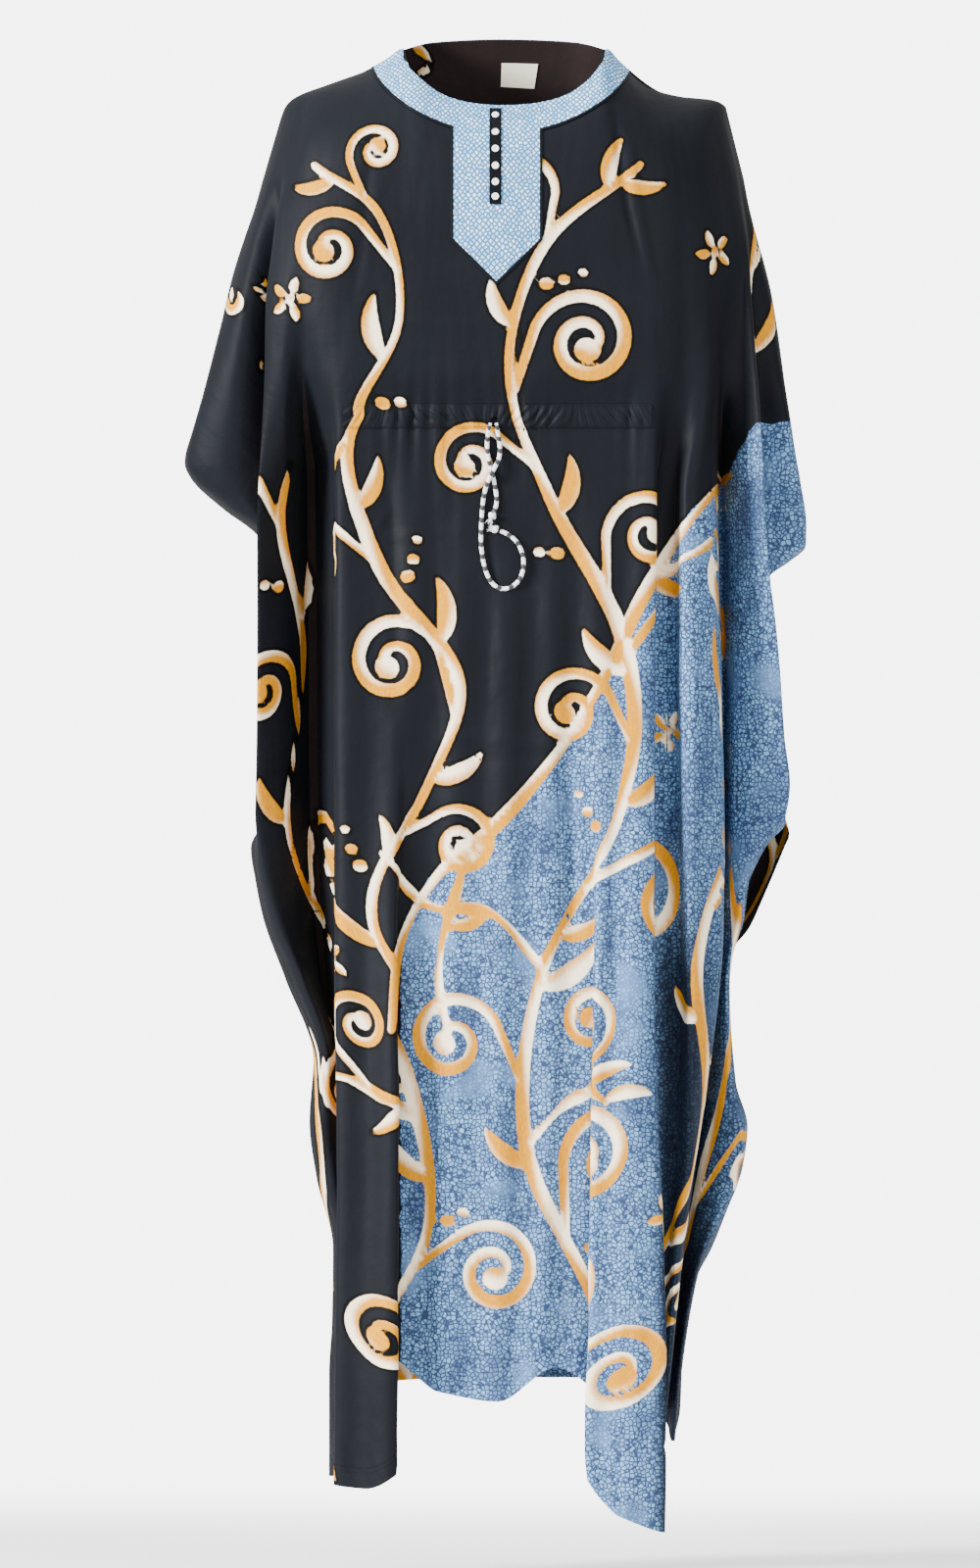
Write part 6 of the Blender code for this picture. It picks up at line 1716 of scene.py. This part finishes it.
def add_button(number, tree):
    """A round button: a rim round a dished face with four holes, sewn on with two threads."""
    point, outward = surface_frame(tree, PLACKET_X, BUTTON_DROPS[number - 1])
    base = point + outward * (TRIM_CLOTH / 2 + BUTTON_GAP) * MM
    button = lathe(f"button_{number}_turned", BUTTON_PROFILE, BUTTON_SIDES, base, outward,
                   ("button", "white_thread", "button_hole"))
    data = button.data
    turn = Vector((0, 0, 1)).rotation_difference(Vector(outward)).to_matrix()
    mesh = bmesh.new()
    mesh.from_mesh(data)
    spin = math.radians(45 + 7 * math.sin(number * 2.3))
    for i in range(4):
        heading = spin + math.tau * i / 4
        middle = Vector((BUTTON_HOLES * math.cos(heading), BUTTON_HOLES * math.sin(heading),
                         BUTTON_FACE + 0.03))
        disc = bmesh.ops.create_circle(mesh, cap_ends=True, segments=10, radius=HOLE_RADIUS * MM)["verts"]
        for vertex in disc:
            vertex.co = turn @ (vertex.co + middle * MM) + Vector(base)
        for face in disc[0].link_faces:
            face.material_index = 2
            if face.normal.dot(Vector(outward)) < 0:
                face.normal_flip()
    heading = spin + math.pi / 4
    along = Vector((math.cos(heading), math.sin(heading), 0))
    for way in (-1, 1):
        beside = Vector((-math.sin(heading), math.cos(heading), 0)) * way * BUTTON_HOLES * 0.7
        path = [turn @ ((along * s * BUTTON_HOLES * 0.8 + beside
                         + Vector((0, 0, BUTTON_FACE + 0.32 * (1 - s ** 2)))) * MM) + Vector(base)
                for s in np.linspace(-1, 1, 7).tolist()]
        points, faces, _ = tube(np.array(path), np.full(len(path), SEWN_THREAD * MM), 8)
        made = [mesh.verts.new(tuple(place)) for place in points]
        for face in faces:
            mesh.faces.new([made[i] for i in face]).material_index = 1
    for face in mesh.faces:
        face.smooth = True
    mesh.to_mesh(data)
    mesh.free()
    data.set_sharp_from_angle(angle=math.radians(50))
    return button


def braid(run, turn):
    """The bulges of a two-strand twist round a cord."""
    phase = math.tau * run / CORD_TWIST + turn
    return 0.09 * math.sin(phase) ** 2 - 0.04 + 0.02 * math.sin(phase * 6)


def add_cord(name, path):
    """A drawstring strand: a twisted round cord with its dark and light yarns."""
    points = resample(np.array(path) * MM, CORD_STEP * MM)
    radii = np.full(len(points), CORD_DIAMETER / 2 * MM)
    radii[:10] *= np.linspace(0.72, 1.0, 10)
    rings, faces, flat = tube(points, radii, 18, braid)
    along, around = flat.T
    marks = {"stripe": np.sin(math.tau * along / CORD_DASH + 0.9 * np.sin(math.tau * around)),
             "ply": np.sin(math.tau * (along / CORD_TWIST + around) * 2)}
    return add_piece(name, rings, faces, ["cord"], flat=flat, marks=marks), points


def add_knot(name, path, seed):
    """The knot on a strand's end: a turned-over strand, and the frayed ends of its yarns."""
    ends = np.array(path) * MM
    onward = unit(ends[-1] - ends[-2])
    centre = ends[-1] + onward * (KNOT_DIAMETER / 2 + GAP) * MM
    side = unit(np.cross(onward, (0.2, -1, 0.1)))
    up = np.cross(onward, side)
    t = np.linspace(0, math.tau, 64)
    loop = np.stack([np.sin(t) + 2 * np.sin(2 * t), np.cos(t) - 2 * np.cos(2 * t), -np.sin(3 * t)], axis=-1)
    loop *= (KNOT_DIAMETER / 2 - 1.5) / 3.0
    loop[:, 2] *= 1.5
    strand = centre + (loop[:, :1] * side + loop[:, 1:2] * up + loop[:, 2:] * onward) * MM
    parts = [tube(strand, np.full(64, 1.75 * MM), 12,
                  lambda run, turn: 0.06 * math.sin(math.tau * run / 2.4 + turn * 2))]
    rng = np.random.default_rng(seed)
    steps = np.linspace(0, 1, 5)[:, None]
    for _ in range(FRAY_YARNS):
        heading, lean = rng.uniform(0, math.tau), rng.uniform(0.15, 1.15)
        away = onward * math.cos(lean) + (side * math.cos(heading) + up * math.sin(heading)) * math.sin(lean)
        length = rng.uniform(0.55, 1.0) * FRAY_LENGTH
        bend = rng.uniform(-0.5, 0.5, 3) + (0, 0, -0.35)
        yarn = (away * steps + bend * steps ** 2 * 0.6) * length * MM
        yarn = centre + onward * KNOT_DIAMETER * 0.3 * MM + yarn
        parts.append(tube(yarn, np.linspace(0.42, 0.1, 5) * MM, 5))
    return add_piece(name, *joined(parts), ["knot_yarn"])


def add_eyelet(tree):
    """A worked eyelet: a ring of thread, and short stitches laid across it."""
    point, outward = surface_frame(tree, *EYELET)
    right = unit(np.cross((0, 0, 1), outward))
    up = np.cross(outward, right)
    centre = point + outward * (TRIM_CLOTH / 2 + 0.2) * MM
    t = np.linspace(0, math.tau, 41)
    ring = centre + (np.cos(t)[:, None] * right + np.sin(t)[:, None] * up) * EYELET_RADIUS * MM
    parts = [tube(ring, np.full(41, EYELET_THREAD * 0.8 * MM), 10)]
    steps = np.linspace(-1.25, 1.45, 7)[:, None]
    for i in range(EYELET_STITCHES):
        turn = math.tau * (i + 0.2 * math.sin(i * 3.7)) / EYELET_STITCHES
        away = right * math.cos(turn) + up * math.sin(turn)
        arc = centre + (away * (EYELET_RADIUS + steps) + outward * (0.95 * np.cos(steps))) * MM
        parts.append(tube(arc, np.array(EYELET_STITCH) * MM, 6))
    return add_piece("eyelet_worked", *joined(parts), ["dark_thread"])


def stitch_nodes():
    """Geometry Nodes that set one stitch after another along sewn lines."""
    tree = bpy.data.node_groups.new("Stitches", "GeometryNodeTree")
    for label, kind in (("Lines", "Geometry"), ("Spacing", "Float"), ("Length", "Float"), ("Width", "Float"),
                        ("Thread", "Material"), ("Seed", "Int")):
        tree.interface.new_socket(label, in_out="INPUT", socket_type="NodeSocket" + kind)
    tree.interface.new_socket("Stitches", in_out="OUTPUT", socket_type="NodeSocketGeometry")

    def node(kind, settings=None, **inputs):
        return add_node(tree, kind, settings, **inputs)

    given = node("NodeGroupInput").outputs
    curve = node("GeometryNodeMeshToCurve", _0=given["Lines"]).outputs[0]
    even = node("GeometryNodeResampleCurve", {"mode": "LENGTH"}, Curve=curve, Length=given["Spacing"])
    along = node("GeometryNodeInputTangent").outputs[0]
    outward = node("GeometryNodeInputNamedAttribute", {"data_type": "FLOAT_VECTOR"}, Name="outward")
    first = node("FunctionNodeAlignRotationToVector", {"axis": "X"}, Vector=along).outputs[0]
    turned = node("FunctionNodeAlignRotationToVector", {"axis": "Z", "pivot_axis": "X"}, Rotation=first,
                  Vector=outward.outputs[0]).outputs[0]
    size = node("ShaderNodeCombineXYZ", X=given["Length"], Y=given["Width"], Z=given["Width"]).outputs[0]
    vary = node("FunctionNodeRandomValue", {"data_type": "FLOAT"}, _2=0.85, _3=1.1, Seed=given["Seed"])
    sized = node("ShaderNodeVectorMath", {"operation": "SCALE"}, _0=size, Scale=vary.outputs[1]).outputs[0]
    stitch = node("GeometryNodeMeshIcoSphere", Radius=0.5, Subdivisions=1).outputs[0]
    stitches = node("GeometryNodeInstanceOnPoints", Points=even.outputs[0], Instance=stitch,
                    Rotation=turned, Scale=sized).outputs[0]
    real = node("GeometryNodeRealizeInstances", _0=stitches).outputs[0]
    smooth = node("GeometryNodeSetShadeSmooth", _0=real).outputs[0]
    dyed = node("GeometryNodeSetMaterial", Geometry=smooth, Material=given["Thread"]).outputs[0]
    node("NodeGroupOutput", _0=dyed)
    return tree


def keep(piece, slot, *nodes):
    """Tie a piece to the kaftan's one body and hide the solids that it stands for; the slot is not used."""
    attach(piece, "root")
    if nodes:
        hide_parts(*nodes)
    return piece


def sew(name, kind, lines):
    """Stitches of one kind along lines, each a row of points and the directions away from the cloth."""
    edges, start = [], 0
    for line, _ in lines:
        edges += [(start + i, start + i + 1) for i in range(len(line) - 1)]
        start += len(line)
    data = bpy.data.meshes.new(name + "_lines")
    data.from_pydata(np.concatenate([line for line, _ in lines]).tolist(), edges, [])
    outward = np.concatenate([away for _, away in lines]).astype(np.float32)
    data.attributes.new("outward", "FLOAT_VECTOR", "POINT").data.foreach_set("vector", outward.ravel())
    guide = put(name + "_lines", data)
    modifier = guide.modifiers.new("Stitches", "NODES")
    modifier.node_group = SEWING
    slot, yarn, spacing, length, width, seed = STITCHES[kind]
    given = {"Spacing": spacing * MM, "Length": length * MM, "Width": width * MM,
             "Thread": FINISH[yarn], "Seed": seed}
    for socket in SEWING.interface.items_tree:
        if socket.name in given:
            modifier[socket.identifier] = given[socket.name]
    bpy.context.view_layer.update()
    made = bpy.data.meshes.new_from_object(guide.evaluated_get(bpy.context.evaluated_depsgraph_get()))
    made.name = name
    if "outward" in made.attributes:
        made.attributes.remove(made.attributes["outward"])
    bpy.data.objects.remove(guide)
    keep(put(name, made), slot)


def grid_line(grid, normals, rows, columns, lift):
    """Points along a laid grid between rows and columns, lifted off it, and the directions away."""
    rows, columns = np.broadcast_arrays(np.asarray(rows, float), np.asarray(columns, float))
    away = unit(sample(normals, rows, columns))
    return sample(grid, rows, columns) + away * lift * MM, away


def hem_line(cloth, up):
    """A line across the panel at a distance above its hem."""
    columns = np.arange(4, cloth.grid.shape[1] - 4)
    rows = [np.interp(cloth.flat[-1, c, 1] - up, cloth.flat[:, c, 1], np.arange(len(cloth.flat)))
            for c in columns]
    return grid_line(cloth.grid, cloth.normals, rows, columns, CLOTH / 2 + PANEL_STITCH_LIFT)


def side_line(cloth, right):
    """A line down the panel beside its left or right edge."""
    first, last = (int(row_at(drop)) for drop in SIDE_STITCH_DROPS)
    rows = np.arange(first, min(len(cloth.grid), last))
    columns = []
    for run in cloth.flat[rows, :, 0]:
        target = run[-1] - SIDE_STITCH_INSET if right else run[0] + SIDE_STITCH_INSET
        columns.append(np.interp(target, run, np.arange(len(run))))
    return grid_line(cloth.grid, cloth.normals, rows, columns, CLOTH / 2 + PANEL_STITCH_LIFT)


def inset_lines(laid, normals, steps, sides, wall):
    """Stitch lines one step inside the named sides of a laid patch."""
    rows, columns = steps
    down, over = np.linspace(1, rows - 1, rows), np.linspace(1, columns - 1, columns)
    places = {"left": (down, 1.0), "right": (down, columns - 1.0),
              "top": (1.0, over), "bottom": (rows - 1.0, over)}
    return [grid_line(laid, normals, *places[side], wall / 2 + STITCH_LIFT) for side in sides]


def band_seams(laid, normals, side):
    """The stitch lines near the edges of the neck band and yoke."""
    _, first, last = band_angles()
    rows, columns = laid.shape[:2]
    whole, edge = np.arange(1, columns - 1), BAND_STEPS - BAND_STITCH_INSET
    places = [(BAND_STITCH_INSET, whole)]
    if side > 0:
        places += [(edge, whole)]
    else:
        down = np.arange(edge, rows - 1.2)
        places += [(edge, np.arange(1, first + 1)), (edge, np.arange(last, columns - 1)),
                   (down, first + BAND_STITCH_INSET), (down, last - BAND_STITCH_INSET),
                   (rows - 1.6, np.arange(first + 1, last))]
    return [grid_line(laid, normals, *place, TRIM_CLOTH / 2 + STITCH_LIFT) for place in places]


def add_neck_bands(trees):
    """The band and yoke of the front and the band behind; gives the front's grid and its laid grid."""
    for name, side, node, dots in (("neck_band_and_yoke", -1, "neck_band_front", "band_dots"),
                                   ("neck_band_behind", 1, "neck_band_back", "band_dots_behind")):
        grid, cells = band_grid(trees[side], side)
        laid, normals = lay_on(trees[side], grid, side, BAND_HEIGHT, True)
        keep(shell(name, laid, normals, TRIM_CLOTH, (dots, "reverse_dark", dots), grid_flat(grid),
                   cells=cells), "blue_cloth", node)
        sew(f"{name}_stitches", "band", band_seams(laid, normals, side))
        if side < 0:
            front = grid, laid
    return front


def add_piping(tree, band):
    """The narrow dark edge beside the band and yoke, a little rounded."""
    grid = piping_grid(tree, band_edge(band), -1)
    normals = lay_normals(tree, grid, -1, True)
    crown = PIPING_CROWN * np.sin(math.pi * np.arange(len(grid)) / (len(grid) - 1))
    laid = grid + normals * (BAND_HEIGHT + crown[:, None, None]) * MM
    keep(shell("piping_bead", laid, normals, TRIM_CLOTH, ("piping",) * 3, grid_flat(grid)),
         "black_cloth", "piping")


def add_placket(tree):
    """The placket on the yoke, with its stitches and its buttons."""
    left, right = PLACKET_X - PLACKET_WIDTH / 2, PLACKET_X + PLACKET_WIDTH / 2
    top, bottom = PLACKET_DROPS
    corners = (left, top), (right, top), (right, bottom), (left, bottom)
    grid = patch_grid(tree, corners, PLACKET_STEPS, -1)
    laid, normals = lay_on(tree, grid, -1, TRIM_CLOTH + LAY_GAP)
    keep(shell("placket_strip", laid, normals, TRIM_CLOTH, ("placket",) * 3, grid_flat(grid)),
         "black_cloth", "placket")
    sew("placket_stitches", "placket",
        inset_lines(laid, normals, PLACKET_STEPS, ("left", "right", "bottom"), TRIM_CLOTH))
    placket_tree = surface_tree(laid)
    for number in range(1, len(BUTTON_DROPS) + 1):
        keep(add_button(number, placket_tree), "white", f"button_{number}")


def add_casing(front):
    """The puckered tunnel of the drawstring, with its stitches and its eyelet."""
    grid, normals, flat, seen = casing_grid(front)
    marks = dict(zip(("stroke", "gold", "ground"), front_print(flat, seen)))
    keep(shell("casing_tunnel", grid, normals, TRIM_CLOTH, ("print", "reverse_dark", "print"), flat, marks),
         "black_cloth", "casing")
    over = np.linspace(1, CASING_COLUMNS - 2, CASING_COLUMNS)
    sew("casing_stitches", "casing",
        [grid_line(grid, normals, row, over, TRIM_CLOTH / 2 + STITCH_LIFT) for row in CASING_STITCH_ROWS])
    keep(add_eyelet(surface_tree(grid)), "black_cloth", "eyelet")


def add_drawstring():
    """The two strands of the cord, each with its knot."""
    for label, path, seed in (("short", SHORT_STRAND, 11), ("long", LONG_STRAND, 12)):
        cord, centres = add_cord(f"drawstring_{label}_cord", path)
        knot = add_knot(f"knot_{label}_frayed", path, seed)
        keep(cord, "white", f"drawstring_{label}")
        keep(knot, "white", f"knot_{label}")


def add_label(tree):
    """The blank label inside the back neck, with its stitches."""
    grid = patch_grid(tree, LABEL_CORNERS, LABEL_STEPS, -1)
    normals = -lay_normals(tree, grid, 1)
    laid = grid + normals * ((CLOTH + LABEL_WALL) / 2 + LAY_GAP) * MM
    keep(shell("label_blank", laid, normals, LABEL_WALL, ("label",) * 3, grid_flat(grid)), "white", "label")
    sew("label_stitches", "label",
        inset_lines(laid, normals, LABEL_STEPS, ("left", "right", "top", "bottom"), LABEL_WALL))


def dress():
    """Make every piece of the kaftan."""
    front = Cloth(FRONT_FOLDS, -1, FRONT_FINER, ("left_pleat_edge", "right_pleat_edge"))
    back = Cloth(BACK_FOLDS, 1, BACK_FINER, ("left_pleat", "right_pleat"))
    front_piece = keep(hung_cloth("front_cloth", front, front_print), "black_cloth", "front_panel")
    back_piece = keep(hung_cloth("back_cloth", back, back_print), "black_cloth", "back_panel")
    trees = {-1: surface_tree(front.grid), 1: surface_tree(back.grid)}

    band, laid_band = add_neck_bands(trees)
    add_piping(trees[-1], band)
    add_placket(surface_tree(laid_band))
    add_casing(front)
    add_drawstring()
    add_label(trees[1])

    for label, cloth in (("front", front), ("back", back)):
        for hand in ("right", "left"):
            sew(f"side_stitches_{label}_{hand}", "side", [side_line(cloth, hand == "right")])
    for label, cloth in (("front", front), ("back", back)):
        sew(f"hem_stitches_{label}", "hem", [hem_line(cloth, up) for up in HEM_STITCHES_UP])


def add_stage():
    """A pale round floor."""
    data = bpy.data.meshes.new("floor")
    mesh = bmesh.new()
    bmesh.ops.create_circle(mesh, cap_ends=True, segments=96, radius=FLOOR_FADE[1] + 0.2)
    mesh.to_mesh(data)
    mesh.free()
    data.materials.append(floor_finish())
    floor = put("floor", data)
    floor.location = (0, 0, FLOOR)


def add_camera_and_lights():
    """The camera, square to the front, and soft studio light from the front left."""
    data = bpy.data.cameras.new("camera")
    data.sensor_fit = "VERTICAL"
    data.sensor_height = 24.0
    data.lens = data.sensor_height * (CAMERA_AWAY - 0.05) / PICTURE_HEIGHT
    data.clip_end = 60.0
    camera = put("camera", data)
    camera.location = (CAMERA_X, -CAMERA_AWAY, CAMERA_Z)
    camera.rotation_euler = (math.pi / 2, 0, 0)
    bpy.context.scene.camera = camera
    for name, place, target, size, power in LIGHTS:
        data = bpy.data.lights.new(name, "AREA")
        data.size = size
        data.energy = power
        light = put(name, data)
        light.location = place
        light.rotation_euler = (Vector(target) - Vector(place)).to_track_quat("-Z", "Y").to_euler()


def add_sky():
    """Even white light all round, and a paler white behind the kaftan."""
    world = bpy.data.worlds.new("studio")
    world.use_nodes = True
    tree = world.node_tree
    background = tree.nodes["Background"].inputs
    background["Color"].default_value = (1, 1, 1, 1)
    seen = add_node(tree, "ShaderNodeLightPath").outputs["Is Camera Ray"]
    bright = add_node(tree, "ShaderNodeMapRange", Value=seen,
                      **{"To Min": SKY_LIGHT, "To Max": SKY_SEEN}).outputs["Result"]
    join(tree, bright, background["Strength"])
    bpy.context.scene.world = world


VINE = vine()
SEWING = stitch_nodes()
FINISH = make_finishes()

add_camera_and_lights()
add_sky()
add_stage()
dress()
